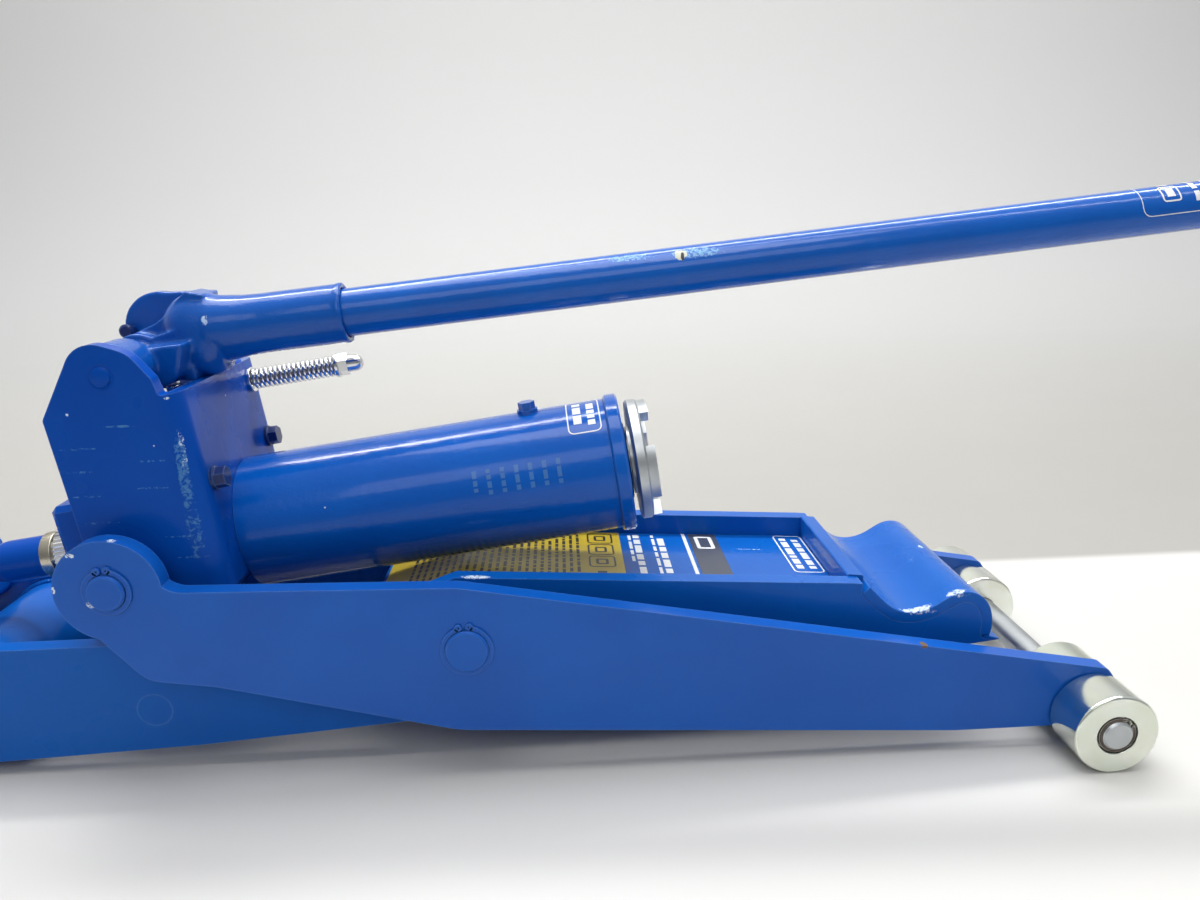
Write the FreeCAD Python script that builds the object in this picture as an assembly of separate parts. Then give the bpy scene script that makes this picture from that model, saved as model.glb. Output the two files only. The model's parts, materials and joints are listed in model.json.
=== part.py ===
"""Scissor-type forklift jack: low toe lift, tilting power unit and folding scissor frame.

Units are millimetres.  +X points to the lifting toe, +Y to the jack's left and +Z up.
While the pieces are drawn, X = 0 is the front axle and Z = 0 the floor.  At the end
everything moves along X, so that the origin lies on the floor under the middle of the
whole jack.  Shapes of the power unit are drawn level, with the trunnion axis at the
origin and the ram along X, and are then tilted into place.
"""
import FreeCAD
import Part

import math
import os

Vec = FreeCAD.Vector

# ---------------------------------------------------------------- driving dimensions
# Side view points, as (x, z).
FRONT_AXLE = (0.0, 22.5)
SCISSOR_PIVOT = (-338.1, 75.7)
TRUNNION = (-515.2, 116.9)
REAR_AXLE_Z = 30.0

RUNNING_FIT = 0.05      # radial clearance of a shaft that turns in its hole
BODY_GAP = 0.4          # gap between faces of pieces that move past each other
CHAMFER = 1.0           # edge break of pin ends and rollers

# Front rollers and axle
ROLLER_R = 22.5
ROLLER_WIDTH = 26.0
FRONT_AXLE_R = 8.0
FRONT_AXLE_END = 109.5
ROLLER_RECESS_R = 10.8
ROLLER_RECESS_DEPTH = 3.6
CLIP_THICKNESS = 1.2
CLIP_REACH = 2.3        # how far a retaining clip stands out of its groove
GROOVE_DEPTH = 1.0

# Lifting arms
ARM_INNER_Y = 72.0
ARM_THICKNESS = 10.0
ARM_EYE_R = 27.0
ARM_NOSE_R = 19.0

# Scissor shaft
SCISSOR_SHAFT_R = 11.5
SCISSOR_SHAFT_END = 85.2
SPACER_R = 19.0

# Inner frame
FRAME_OUTER_Y = 59.3
FRAME_PLATE = 10.0
TIE_BAR = (-513.6, 36.4)
TIE_BAR_R = 9.5
CROSS_TUBE = (-618.0, 41.0)
CROSS_TUBE_R = 30.0
CROSS_TUBE_WALL = 5.0
TRAY_THICKNESS = 4.0
TRAY_FRONT_X = -128.0
TRAY_RIM_FRONT_Z = 93.4
TRAY_RIM_REAR = (-345.0, 106.7)
TRAY_DEPTH = 13.0
TOE_SHEET = 6.0

# Rear axle and wheels
REAR_AXLE_R = 10.0
REAR_WHEEL_R = 30.0
REAR_WHEEL_WIDTH = 24.0
REAR_WASHER = 1.6

# Power unit, in its own level frame: (s along the ram, n above it)
RAM_SLOPE_DEG = 7.4
HOUSING_OUTER_Y = 60.5
HOUSING_PLATE = 8.0
HOUSING_FRONT_S = 51.5
HOUSING_TOP_N = 89.8
HOUSING_BOTTOM_N = -24.0
HOUSING_FOLD_R = 11.0
LEVER_PIVOT = (17.7, 103.7)
LEVER_SHAFT_R = 8.5
TRUNNION_R = 9.5
TRUNNION_END = 85.5
TRUNNION_ROOT = 29.0
BLOCK_REAR_S = -34.0
BLOCK_TOP_N = 40.0
BLOCK_BOTTOM_N = -30.0
RESERVOIR_R = 38.5
RESERVOIR_WALL = 3.5
RESERVOIR_END_S = 262.0
CAP_R = 40.5
CAP_LENGTH = 8.0
CYLINDER_R = 25.0
CYLINDER_BORE_R = 19.0
CYLINDER_FRONT_S = 240.0
RAM_R = 9.0
PISTON_LENGTH = 22.0
PISTON_FRONT_S = 232.0
GLAND_R = 17.5
GLAND_REAR_S = -62.0
ROD_END_PIN_S = -150.0
ROD_END_PIN_R = 10.0
ROD_END_PIN_Y = 38.0
SADDLE_R = 35.5
SADDLE_BACK_S = 274.0
SADDLE_STEM_R = 13.0
GUIDE_ROD_Y = 42.0
GUIDE_ROD_N = 77.5
GUIDE_ROD_R = 3.5
GUIDE_ROD_END_S = 118.0
STRAP_THICKNESS = 5.0   # slotted strap at the rod's rear end, round the lever's link pin
SPRING_R = 5.6
SPRING_WIRE_R = 0.9
SPRING_TURNS = 16
PLUNGER_S = 34.5
PLUNGER_Y = -24.0
PLUNGER_R = 5.0
PLUNGER_TOP_N = 90.3

# Pump lever, socket and handle, in the side view of the whole jack
HANDLE_SLOPE_DEG = 5.34
HANDLE_ON_AXIS = (-400.0, 243.8)
HANDLE_TUBE_R = 13.3
HANDLE_TUBE_WALL = 2.9
HANDLE_START_X = -468.0
HANDLE_LENGTH = 1030.0
SOCKET_R = 16.4
SOCKET_START_X = -487.0
SOCKET_END_X = -401.0
LEVER_BOSS_R = 15.5
LEVER_WAIST_R = 10.4     # where the guide rod's strap passes under the boss
LEVER_WEB_Y = 20.0
EAR_CENTRE = (-508.5, 236.5)
EAR_R = 21.0

ARM_OUTER_Y = ARM_INNER_Y + ARM_THICKNESS
FRAME_INNER_Y = FRAME_OUTER_Y - FRAME_PLATE
HOUSING_INNER_Y = HOUSING_OUTER_Y - HOUSING_PLATE
SCISSOR_ARM = math.hypot(SCISSOR_PIVOT[0] - FRONT_AXLE[0], SCISSOR_PIVOT[1] - FRONT_AXLE[1])
REAR_AXLE = (
    SCISSOR_PIVOT[0] - math.sqrt(SCISSOR_ARM ** 2 - (SCISSOR_PIVOT[1] - REAR_AXLE_Z) ** 2),
    REAR_AXLE_Z,
)
BIG = 2000.0

parts = {}


# ---------------------------------------------------------------- drawing helpers
def outline(corners):
    """Closed wire in the XZ plane; each corner is (x, z, radius of its rounding)."""
    count = len(corners)
    starts, ends, middles = [], [], []
    for i, (x, z, radius) in enumerate(corners):
        here = Vec(x, 0, z)
        before = Vec(corners[i - 1][0], 0, corners[i - 1][1])
        after = Vec(corners[(i + 1) % count][0], 0, corners[(i + 1) % count][1])
        to_before = (before - here).normalize()
        to_after = (after - here).normalize()
        half_angle = to_before.getAngle(to_after) / 2
        if radius == 0 or abs(half_angle - math.pi / 2) < 1e-4:
            starts.append(here)
            ends.append(here)
            middles.append(None)
            continue
        run = radius / math.tan(half_angle)
        bisector = (to_before + to_after).normalize()
        centre = here + bisector * (radius / math.sin(half_angle))
        starts.append(here + to_before * run)
        ends.append(here + to_after * run)
        middles.append(centre - bisector * radius)
    edges = []
    for i in range(count):
        if middles[i] is not None:
            edges.append(Part.Arc(starts[i], middles[i], ends[i]).toShape())
        following = starts[(i + 1) % count]
        if (following - ends[i]).Length > 1e-6:
            edges.append(Part.makeLine(ends[i], following))
    return Part.Wire(edges)


def slab(corners, y_low, y_high):
    """Solid with the given side view outline, from y_low to y_high."""
    face = Part.Face(outline(corners))
    face.translate(Vec(0, y_low, 0))
    return face.extrude(Vec(0, y_high - y_low, 0))


def disc(centre, radius, y_low, y_high):
    """Cylinder along Y round a side view point."""
    return Part.makeCylinder(radius, y_high - y_low, Vec(centre[0], y_low, centre[1]), Vec(0, 1, 0))


def ring(centre, radius, hole_radius, y_low, y_high):
    """Washer or bush along Y round a side view point."""
    return disc(centre, radius, y_low, y_high).cut(disc(centre, hole_radius, y_low - 1, y_high + 1))


def pin(centre, radius, y_low, y_high):
    """Shaft along Y with both ends chamfered."""
    shaft = disc(centre, radius, y_low, y_high)
    ends = [edge for edge in shaft.Edges if isinstance(edge.Curve, Part.Circle)]
    return shaft.makeChamfer(CHAMFER, ends)


def rod(s_low, s_high, radius, y=0.0, n=0.0):
    """Cylinder along X from s_low to s_high, at a given y and height."""
    return Part.makeCylinder(radius, s_high - s_low, Vec(s_low, y, n), Vec(1, 0, 0))


def cone(s_low, s_high, radius_low, radius_high, y=0.0, n=0.0):
    """Tapered rod along X."""
    return Part.makeCone(radius_low, radius_high, s_high - s_low, Vec(s_low, y, n), Vec(1, 0, 0))


def hex_prism(base, direction, across_flats, length):
    """Hexagonal bolt head that stands on base along direction."""
    radius = across_flats / math.sqrt(3)
    normal = Vec(direction).normalize()
    side = normal.cross(Vec(0, 1, 0) if abs(normal.y) < 0.9 else Vec(1, 0, 0)).normalize()
    other = normal.cross(side)
    points = []
    for i in range(7):
        angle = math.radians(60 * i)
        points.append(base + side * radius * math.cos(angle) + other * radius * math.sin(angle))
    return Part.Face(Part.makePolygon(points)).extrude(normal * length)


def retaining_clip(centre, shaft_radius, y_low):
    """Open C-shaped clip in a shaft groove, with its gap towards +X."""
    clip = ring(centre, shaft_radius + CLIP_REACH, shaft_radius - GROOVE_DEPTH + 0.05, y_low,
                y_low + CLIP_THICKNESS)
    gap_height = shaft_radius * 0.55
    gap = Part.makeBox(shaft_radius * 3, CLIP_THICKNESS + 2, gap_height,
                       Vec(centre[0], y_low - 1, centre[1] - gap_height / 2))
    return clip.cut(gap)


def groove(centre, shaft_radius, y_low):
    """Ring of material that a clip's groove takes out of a shaft."""
    return ring(centre, shaft_radius + 1, shaft_radius - GROOVE_DEPTH, y_low - 0.1,
                y_low + CLIP_THICKNESS + 0.1)


def union(shapes):
    """One solid out of several that touch or overlap."""
    return shapes[0].fuse(list(shapes[1:])).removeSplitter()


def mirrored(shape):
    """The same shape on the other side of the jack's middle plane."""
    return shape.mirror(Vec(0, 0, 0), Vec(0, 1, 0))


def both_sides(shape):
    """Group of a piece and its mirror image."""
    return Part.makeCompound([shape, mirrored(shape)])


def tilted(shape):
    """Moves a power unit shape from its level frame to its place in the jack."""
    placed = shape.copy()
    placed.rotate(Vec(0, 0, 0), Vec(0, 1, 0), -RAM_SLOPE_DEG)
    placed.translate(Vec(TRUNNION[0], 0, TRUNNION[1]))
    return placed


def level_point(s, n):
    """Side view point of the whole jack for a point of the power unit's level frame."""
    slope = math.radians(RAM_SLOPE_DEG)
    x = TRUNNION[0] + s * math.cos(slope) - n * math.sin(slope)
    z = TRUNNION[1] + s * math.sin(slope) + n * math.cos(slope)
    return (x, z)


# ---------------------------------------------------------------- front axle and rollers
def make_front_axle():
    """Plain axle across both arms, with a clip in a groove at each end."""
    clip_y = FRONT_AXLE_END - 2.6
    axle = pin(FRONT_AXLE, FRONT_AXLE_R, -FRONT_AXLE_END, FRONT_AXLE_END)
    axle = axle.cut(both_sides(groove(FRONT_AXLE, FRONT_AXLE_R, clip_y)))
    parts["front_axle"] = axle
    parts["front_axle_clips"] = both_sides(retaining_clip(FRONT_AXLE, FRONT_AXLE_R, clip_y))


def make_roller(y_low, y_high, recess_outside):
    """Steel roller with broken edges; the outer ones have a recess for the clip."""
    roller = disc(FRONT_AXLE, ROLLER_R, y_low, y_high)
    rims = [edge for edge in roller.Edges if isinstance(edge.Curve, Part.Circle)]
    roller = roller.makeChamfer(CHAMFER, rims)
    roller = roller.cut(disc(FRONT_AXLE, FRONT_AXLE_R + RUNNING_FIT, y_low - 1, y_high + 1))
    if recess_outside:
        roller = roller.cut(disc(FRONT_AXLE, ROLLER_RECESS_R, y_high - ROLLER_RECESS_DEPTH, y_high + 1))
    return roller


def make_front_rollers():
    """Two rollers on each side, one inside and one outside the arm."""
    inner_high = ARM_INNER_Y - BODY_GAP
    inner = make_roller(inner_high - ROLLER_WIDTH, inner_high, False)
    outer_low = ARM_OUTER_Y + BODY_GAP
    outer = make_roller(outer_low, outer_low + ROLLER_WIDTH, True)
    parts["roller_left_inner"] = inner
    parts["roller_left_outer"] = outer
    parts["roller_right_inner"] = mirrored(inner)
    parts["roller_right_outer"] = mirrored(outer)


# ---------------------------------------------------------------- lifting arms
def make_lift_arms():
    """Two long plates from the front axle, past the scissor shaft, to the trunnion eye."""
    nose_x = FRONT_AXLE[0] + ARM_NOSE_R
    blade = slab([
        (TRUNNION[0] + 17.4, TRUNNION[1] + 20.6, 0),
        (-488.5, 114.9, 15),
        (-341.0, 110.6, 60),
        (8.0, 46.6, 5),
        (nose_x, FRONT_AXLE[1] + 8, 14),
        (nose_x, FRONT_AXLE[1] - 9.3, 6),
        (-74.5, 13.2, 0),
        (-345.0, 28.8, 60),
        (-468.0, 61.0, 40),
        (-503.0, 66.5, 16),
        (-540.6, 112.0, 0),
        (TRUNNION[0], TRUNNION[1] + 10, 0),
    ], ARM_INNER_Y, ARM_OUTER_Y)
    arm = union([blade, disc(TRUNNION, ARM_EYE_R, ARM_INNER_Y, ARM_OUTER_Y)])
    holes = [
        disc(FRONT_AXLE, FRONT_AXLE_R + RUNNING_FIT, ARM_INNER_Y - 1, ARM_OUTER_Y + 1),
        disc(SCISSOR_PIVOT, SCISSOR_SHAFT_R, ARM_INNER_Y - 1, ARM_OUTER_Y + 1),
        disc(TRUNNION, TRUNNION_R, ARM_INNER_Y - 1, ARM_OUTER_Y + 1),
    ]
    arm = arm.cut(holes)
    parts["lift_arm_left"] = arm
    parts["lift_arm_right"] = mirrored(arm)


def make_scissor_shaft():
    """Shaft that both scissor frames turn on, its clips and its spacer bushes."""
    shaft = pin(SCISSOR_PIVOT, SCISSOR_SHAFT_R, -SCISSOR_SHAFT_END, SCISSOR_SHAFT_END)
    clip_y = ARM_OUTER_Y + 0.1
    parts["scissor_shaft"] = shaft.cut(both_sides(groove(SCISSOR_PIVOT, SCISSOR_SHAFT_R, clip_y)))
    parts["scissor_shaft_clips"] = both_sides(retaining_clip(SCISSOR_PIVOT, SCISSOR_SHAFT_R, clip_y))
    bush = ring(SCISSOR_PIVOT, SPACER_R, SCISSOR_SHAFT_R, FRAME_OUTER_Y + BODY_GAP, ARM_INNER_Y)
    parts["scissor_spacers"] = both_sides(bush)


def make_trunnions():
    """Stub pins that carry the power unit between the arms' eyes."""
    clip_y = ARM_OUTER_Y + 0.1
    stub = pin(TRUNNION, TRUNNION_R, TRUNNION_ROOT, TRUNNION_END)
    stub = stub.cut(groove(TRUNNION, TRUNNION_R, clip_y))
    parts["trunnion_pin_left"] = stub
    parts["trunnion_pin_right"] = mirrored(stub)
    parts["trunnion_clips"] = both_sides(retaining_clip(TRUNNION, TRUNNION_R, clip_y))
    bush = ring(TRUNNION, SPACER_R, TRUNNION_R, HOUSING_OUTER_Y + BODY_GAP, ARM_INNER_Y)
    parts["trunnion_spacers"] = both_sides(bush)


# ---------------------------------------------------------------- inner frame
def toe_profile():
    """Points along the top of the toe's wave: back lip, dip, crest and nose."""
    return [
        Vec(-118.0, 0, 90.5),
        Vec(-110.5, 0, 82.5),
        Vec(-101.0, 0, 75.6),
        Vec(-91.0, 0, 74.4),
        Vec(-80.0, 0, 78.0),
        Vec(-69.0, 0, 84.2),
        Vec(-60.0, 0, 84.6),
        Vec(-51.5, 0, 79.0),
        Vec(-47.6, 0, 70.0),
        Vec(-48.2, 0, 57.5),
    ]


def make_toe():
    """Wave-shaped lifting toe: a bent plate across both frame plates."""
    top_curve = Part.BSplineCurve()
    top_curve.interpolate(toe_profile())
    under_points = []
    samples = 28
    for i in range(samples + 1):
        position = top_curve.FirstParameter
        position += (top_curve.LastParameter - top_curve.FirstParameter) * i / samples
        tangent = top_curve.tangent(position)[0]
        normal = Vec(-tangent.z, 0, tangent.x)
        if normal.z > 0 or (normal.z > -0.2 and normal.x > 0):
            normal = normal * -1
        under_points.append(top_curve.value(position) + normal * TOE_SHEET)
    under_curve = Part.BSplineCurve()
    under_curve.interpolate(under_points)
    top = top_curve.toShape()
    under = under_curve.toShape()
    closing = [
        Part.makeLine(toe_profile()[0], under_points[0]),
        Part.makeLine(toe_profile()[-1], under_points[-1]),
    ]
    wire = Part.Wire(Part.__sortEdges__([top, under] + closing))
    face = Part.Face(wire)
    face.translate(Vec(0, -FRAME_OUTER_Y, 0))
    parts["lifting_toe"] = face.extrude(Vec(0, 2 * FRAME_OUTER_Y, 0))
    return under_points


def make_frame_plates(toe_under):
    """Side plates of the inner frame, from the rear axle to under the toe."""
    rim_front = Vec(TRAY_FRONT_X, 0, TRAY_RIM_FRONT_Z)
    under_curve = Part.BSplineCurve()
    under_curve.interpolate(toe_under)
    outline_before = [
        (toe_under[-1].x, toe_under[-1].z - 0.5),
        (-66.0, 52.2),
        (-84.0, 53.5),
        (-381.0, 21.5),
        (-492.5, 13.3),
        (-602.0, 9.0),
        (REAR_AXLE[0], REAR_AXLE[1] - 23.0),
        (REAR_AXLE[0] - 22.0, REAR_AXLE[1] - 8.0),
        (REAR_AXLE[0] - 22.0, REAR_AXLE[1] + 12.0),
        (-664.0, 76.0),
        (-432.0, 76.0),
        TRAY_RIM_REAR,
        (rim_front.x, rim_front.z),
        (toe_under[0].x, TRAY_RIM_FRONT_Z - 0.6),
        (toe_under[0].x, toe_under[0].z),
    ]
    points = [toe_under[-1]] + [Vec(x, 0, z) for x, z in outline_before]
    wire = Part.Wire(Part.__sortEdges__(
        [Part.makeLine(points[i], points[i + 1]) for i in range(len(points) - 1)]
        + [under_curve.toShape()]))
    face = Part.Face(wire)
    face.translate(Vec(0, FRAME_INNER_Y, 0))
    plate = face.extrude(Vec(0, FRAME_PLATE, 0))
    holes = [
        disc(SCISSOR_PIVOT, SCISSOR_SHAFT_R + RUNNING_FIT, FRAME_INNER_Y - 1, FRAME_OUTER_Y + 1),
        disc(REAR_AXLE, REAR_AXLE_R, FRAME_INNER_Y - 1, FRAME_OUTER_Y + 1),
        disc(TIE_BAR, TIE_BAR_R, FRAME_INNER_Y - 1, FRAME_OUTER_Y + 1),
    ]
    plate = plate.cut(holes)
    parts["frame_plate_left"] = plate
    parts["frame_plate_right"] = mirrored(plate)


def make_tray():
    """Recessed cover between the frame plates and the cross bar that ends it."""
    slope = (TRAY_RIM_REAR[1] - TRAY_RIM_FRONT_Z) / (TRAY_RIM_REAR[0] - TRAY_FRONT_X)
    front_z = TRAY_RIM_FRONT_Z - TRAY_DEPTH
    rear_z = front_z + slope * (TRAY_RIM_REAR[0] - TRAY_FRONT_X)
    tail = (-398.0, rear_z - 16.0)
    floor = slab([
        (TRAY_FRONT_X, front_z, 0),
        (TRAY_RIM_REAR[0], rear_z, 18),
        (tail[0], tail[1], 0),
        (tail[0] - 1.5, tail[1] - 3.8, 0),
        (TRAY_RIM_REAR[0] - 1, rear_z - TRAY_THICKNESS, 14),
        (TRAY_FRONT_X, front_z - TRAY_THICKNESS, 0),
    ], -FRAME_INNER_Y, FRAME_INNER_Y)
    parts["tray_floor"] = floor
    bar = slab([
        (TRAY_FRONT_X, front_z - TRAY_THICKNESS, 0),
        (TRAY_FRONT_X, TRAY_RIM_FRONT_Z + 1.2, 1.2),
        (TRAY_FRONT_X + 9.4, TRAY_RIM_FRONT_Z + 0.2, 1.2),
        (TRAY_FRONT_X + 9.4, front_z - TRAY_THICKNESS, 0),
    ], -FRAME_INNER_Y, FRAME_INNER_Y)
    parts["tray_cross_bar"] = bar.cut(parts["lifting_toe"])


def make_cross_members():
    """Tie bar, rear tube and the cradle that takes the ram's push."""
    parts["frame_tie_bar"] = disc(TIE_BAR, TIE_BAR_R, -FRAME_OUTER_Y, FRAME_OUTER_Y)
    parts["rear_cross_tube"] = ring(CROSS_TUBE, CROSS_TUBE_R, CROSS_TUBE_R - CROSS_TUBE_WALL,
                                    -FRAME_INNER_Y, FRAME_INNER_Y)
    seat = level_point(ROD_END_PIN_S, 0)
    seat_r = ROD_END_PIN_R + 0.5
    block = slab([
        (seat[0] - 21, 62.0, 0),
        (seat[0] - 7.6, seat[1] - 7.2, 0),
        (seat[0], seat[1], 0),
        (seat[0] + 7.6, seat[1] + 7.2, 0),
        (seat[0] + 17.5, seat[1] + 5.0, 4),
        (seat[0] + 17.5, 68.0, 6),
        (seat[0] + 2.0, 58.0, 8),
    ], 19.0, FRAME_INNER_Y)
    lug = block.cut(disc(seat, seat_r, 18.0, FRAME_INNER_Y + 1))
    parts["ram_cradle_left"] = lug
    parts["ram_cradle_right"] = mirrored(lug)


def make_rear_wheels():
    """Rear axle with a wheel, a washer and a clip outside each frame plate."""
    wheel_low = FRAME_OUTER_Y + REAR_WASHER + BODY_GAP / 2
    wheel_high = wheel_low + REAR_WHEEL_WIDTH
    clip_y = wheel_high + 0.3
    axle_end = clip_y + CLIP_THICKNESS + 2.2
    axle = pin(REAR_AXLE, REAR_AXLE_R, -axle_end, axle_end)
    parts["rear_axle"] = axle.cut(both_sides(groove(REAR_AXLE, REAR_AXLE_R, clip_y)))
    parts["rear_axle_clips"] = both_sides(retaining_clip(REAR_AXLE, REAR_AXLE_R, clip_y))
    washer = ring(REAR_AXLE, REAR_AXLE_R + 6, REAR_AXLE_R, FRAME_OUTER_Y, FRAME_OUTER_Y + REAR_WASHER)
    parts["rear_washers"] = both_sides(washer)
    wheel = disc(REAR_AXLE, REAR_WHEEL_R, wheel_low, wheel_high)
    rims = [edge for edge in wheel.Edges if isinstance(edge.Curve, Part.Circle)]
    wheel = wheel.makeFillet(2.5, rims)
    for y_low, y_high in ((wheel_low - 1, wheel_low + 3), (wheel_high - 3, wheel_high + 1)):
        wheel = wheel.cut(ring(REAR_AXLE, REAR_WHEEL_R - 7, REAR_AXLE_R + 5.5, y_low, y_high))
    wheel = wheel.cut(disc(REAR_AXLE, REAR_AXLE_R + RUNNING_FIT, wheel_low - 1, wheel_high + 1))
    parts["rear_wheel_left"] = wheel
    parts["rear_wheel_right"] = mirrored(wheel)


# ---------------------------------------------------------------- power unit
def channel_section(front_s, half_width, fold_radius):
    """Upright block that is open to the rear, with its two front corners rounded."""
    block = slab([
        (-BIG / 4, -half_width, 0),
        (front_s, -half_width, fold_radius),
        (front_s, half_width, fold_radius),
        (-BIG / 4, half_width, 0),
    ], -BIG / 4, BIG / 4)
    block.rotate(Vec(0, 0, 0), Vec(1, 0, 0), 90)
    return block


def make_housing():
    """Plate bent round into two hexagonal cheeks and a front face."""
    boss = LEVER_PIVOT
    cheek = [
        (HOUSING_FRONT_S, HOUSING_BOTTOM_N, 10),
        (8.0, -27.0, 14),
        (-22.0, -10.0, 16),
        (-16.8, 19.6, 30),
        (-16.8, 87.0, 3),
        (boss[0] - 7.0, boss[1] + 20.5, 15),
        (boss[0] + 15.5, boss[1] + 9.5, 15),
        (41.5, HOUSING_TOP_N + 9.0, 4),
        (42.5, HOUSING_TOP_N, 2),
        (HOUSING_FRONT_S, HOUSING_TOP_N, 0),
    ]
    channel = channel_section(HOUSING_FRONT_S, HOUSING_OUTER_Y, HOUSING_FOLD_R)
    inside_front = HOUSING_FRONT_S - HOUSING_PLATE
    room = channel_section(inside_front, HOUSING_INNER_Y, HOUSING_FOLD_R - HOUSING_PLATE)
    body = slab(cheek, -HOUSING_OUTER_Y, HOUSING_OUTER_Y).common(channel.cut(room))
    body = body.cut([
        disc((0, 0), TRUNNION_R + RUNNING_FIT, -HOUSING_OUTER_Y - 1, HOUSING_OUTER_Y + 1),
        disc(LEVER_PIVOT, LEVER_SHAFT_R, -HOUSING_OUTER_Y - 1, HOUSING_OUTER_Y + 1),
        rod(inside_front - 1, HOUSING_FRONT_S + 1, CYLINDER_R),
        rod(inside_front - 1, HOUSING_FRONT_S + 1, GUIDE_ROD_R + 0.4, GUIDE_ROD_Y, GUIDE_ROD_N),
    ])
    parts["housing"] = tilted(body)


def make_pump_block():
    """Machined block between the cheeks that holds the cylinder, pump and valves."""
    front = HOUSING_FRONT_S - HOUSING_PLATE
    block = Part.makeBox(front - BLOCK_REAR_S, 2 * (HOUSING_INNER_Y - 0.1), BLOCK_TOP_N - BLOCK_BOTTOM_N,
                         Vec(BLOCK_REAR_S, -HOUSING_INNER_Y + 0.1, BLOCK_BOTTOM_N))
    block = block.makeChamfer(3.0, block.Edges)
    block = block.cut([
        rod(-20.0, front + 1, CYLINDER_R),
        rod(BLOCK_REAR_S - 1, -19.0, GLAND_R - 3.5),
        disc((0, 0), TRUNNION_R + RUNNING_FIT, TRUNNION_ROOT - 1, HOUSING_INNER_Y + 1),
        disc((0, 0), TRUNNION_R + RUNNING_FIT, -HOUSING_INNER_Y - 1, -TRUNNION_ROOT + 1),
        Part.makeCylinder(PLUNGER_R + RUNNING_FIT, 30, Vec(PLUNGER_S, PLUNGER_Y, 24)),
        Part.makeCylinder(PLUNGER_R + 2.5, 20, Vec(PLUNGER_S, PLUNGER_Y, 30)),
        rod(BLOCK_REAR_S - 1, BLOCK_REAR_S + 18, 4.0 + RUNNING_FIT, 34.0, 24.0),
    ])
    parts["pump_block"] = tilted(block)


def make_cylinder():
    """Reservoir tube with its end cap round the pressure cylinder."""
    tube = rod(HOUSING_FRONT_S, RESERVOIR_END_S, RESERVOIR_R)
    tube = tube.cut(rod(HOUSING_FRONT_S - 1, RESERVOIR_END_S + 1, RESERVOIR_R - RESERVOIR_WALL))
    filler_s = 218.0
    filler_hole = Part.makeCylinder(3.0, 20, Vec(filler_s, 0, RESERVOIR_R - 10))
    parts["reservoir_tube"] = tilted(tube.cut(filler_hole))
    cap = rod(RESERVOIR_END_S, RESERVOIR_END_S + CAP_LENGTH, CAP_R)
    rims = [edge for edge in cap.Edges if isinstance(edge.Curve, Part.Circle)]
    cap = cap.makeChamfer(CHAMFER, rims)
    cap = union([cap, rod(CYLINDER_FRONT_S, RESERVOIR_END_S + 1, CYLINDER_R),
                 cone(RESERVOIR_END_S + CAP_LENGTH, RESERVOIR_END_S + CAP_LENGTH + 1.5, 24, 22)])
    cap = cap.cut(rod(CYLINDER_FRONT_S + 4, BIG, SADDLE_STEM_R + RUNNING_FIT))
    parts["reservoir_cap"] = tilted(cap)
    inner = rod(-20.0, CYLINDER_FRONT_S, CYLINDER_R)
    parts["pressure_cylinder"] = tilted(inner.cut(rod(-21.0, CYLINDER_FRONT_S + 1, CYLINDER_BORE_R)))
    head = union([
        Part.makeCylinder(6.0, 2.9, Vec(filler_s, 0, RESERVOIR_R - 0.8)),
        hex_prism(Vec(filler_s, 0, RESERVOIR_R + 2.0), Vec(0, 0, 1), 8.5, 4.2),
    ])
    head = head.cut(rod(filler_s - 20, filler_s + 20, RESERVOIR_R))
    stem = Part.makeCylinder(3.0, 8, Vec(filler_s, 0, RESERVOIR_R - 6))
    parts["filler_plug"] = tilted(union([head, stem]))


def make_ram():
    """Piston, rod and the rod end whose cross pin rests in the frame's cradle."""
    piston_rear = PISTON_FRONT_S - PISTON_LENGTH
    parts["ram_piston"] = tilted(
        rod(piston_rear, PISTON_FRONT_S, CYLINDER_BORE_R - RUNNING_FIT)
        .cut(rod(piston_rear - 1, PISTON_FRONT_S + 1, RAM_R)))
    ring_front, ring_rear, sleeve_rear, neck_rear = -66.0, -72.5, -96.0, -113.0
    parts["ram_rod"] = tilted(rod(sleeve_rear + 6, PISTON_FRONT_S, RAM_R))
    parts["rod_wiper_ring"] = tilted(rod(ring_rear, ring_front, 13.6).cut(rod(ring_rear - 1, 0, RAM_R)))
    sleeve = rod(sleeve_rear, ring_rear, 12.3).cut(rod(sleeve_rear + 6, 0, RAM_R))
    end = union([
        sleeve,
        cone(neck_rear, sleeve_rear, 9.0, 12.3),
        rod(ROD_END_PIN_S, neck_rear, 9.0),
        disc((ROD_END_PIN_S, 0), 17.0, -15.0, 15.0),
    ])
    end = end.cut(disc((ROD_END_PIN_S, 0), ROD_END_PIN_R, -16.0, 16.0))
    parts["rod_end"] = tilted(end)
    parts["rod_end_pin"] = tilted(pin((ROD_END_PIN_S, 0), ROD_END_PIN_R, -ROD_END_PIN_Y, ROD_END_PIN_Y))
    gland = rod(GLAND_REAR_S, BLOCK_REAR_S, GLAND_R)
    flutes = 30
    cutters = []
    for i in range(flutes):
        angle = 2 * math.pi * i / flutes
        cutters.append(rod(GLAND_REAR_S + 3, BLOCK_REAR_S - 5, 0.9,
                           GLAND_R * math.cos(angle), GLAND_R * math.sin(angle)))
    gland = gland.cut(cutters)
    gland = union([gland, rod(BLOCK_REAR_S - 1, -20.0, GLAND_R - 3.5)])
    parts["gland_nut"] = tilted(gland.cut(rod(GLAND_REAR_S - 1, 0, RAM_R + RUNNING_FIT)))


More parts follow.
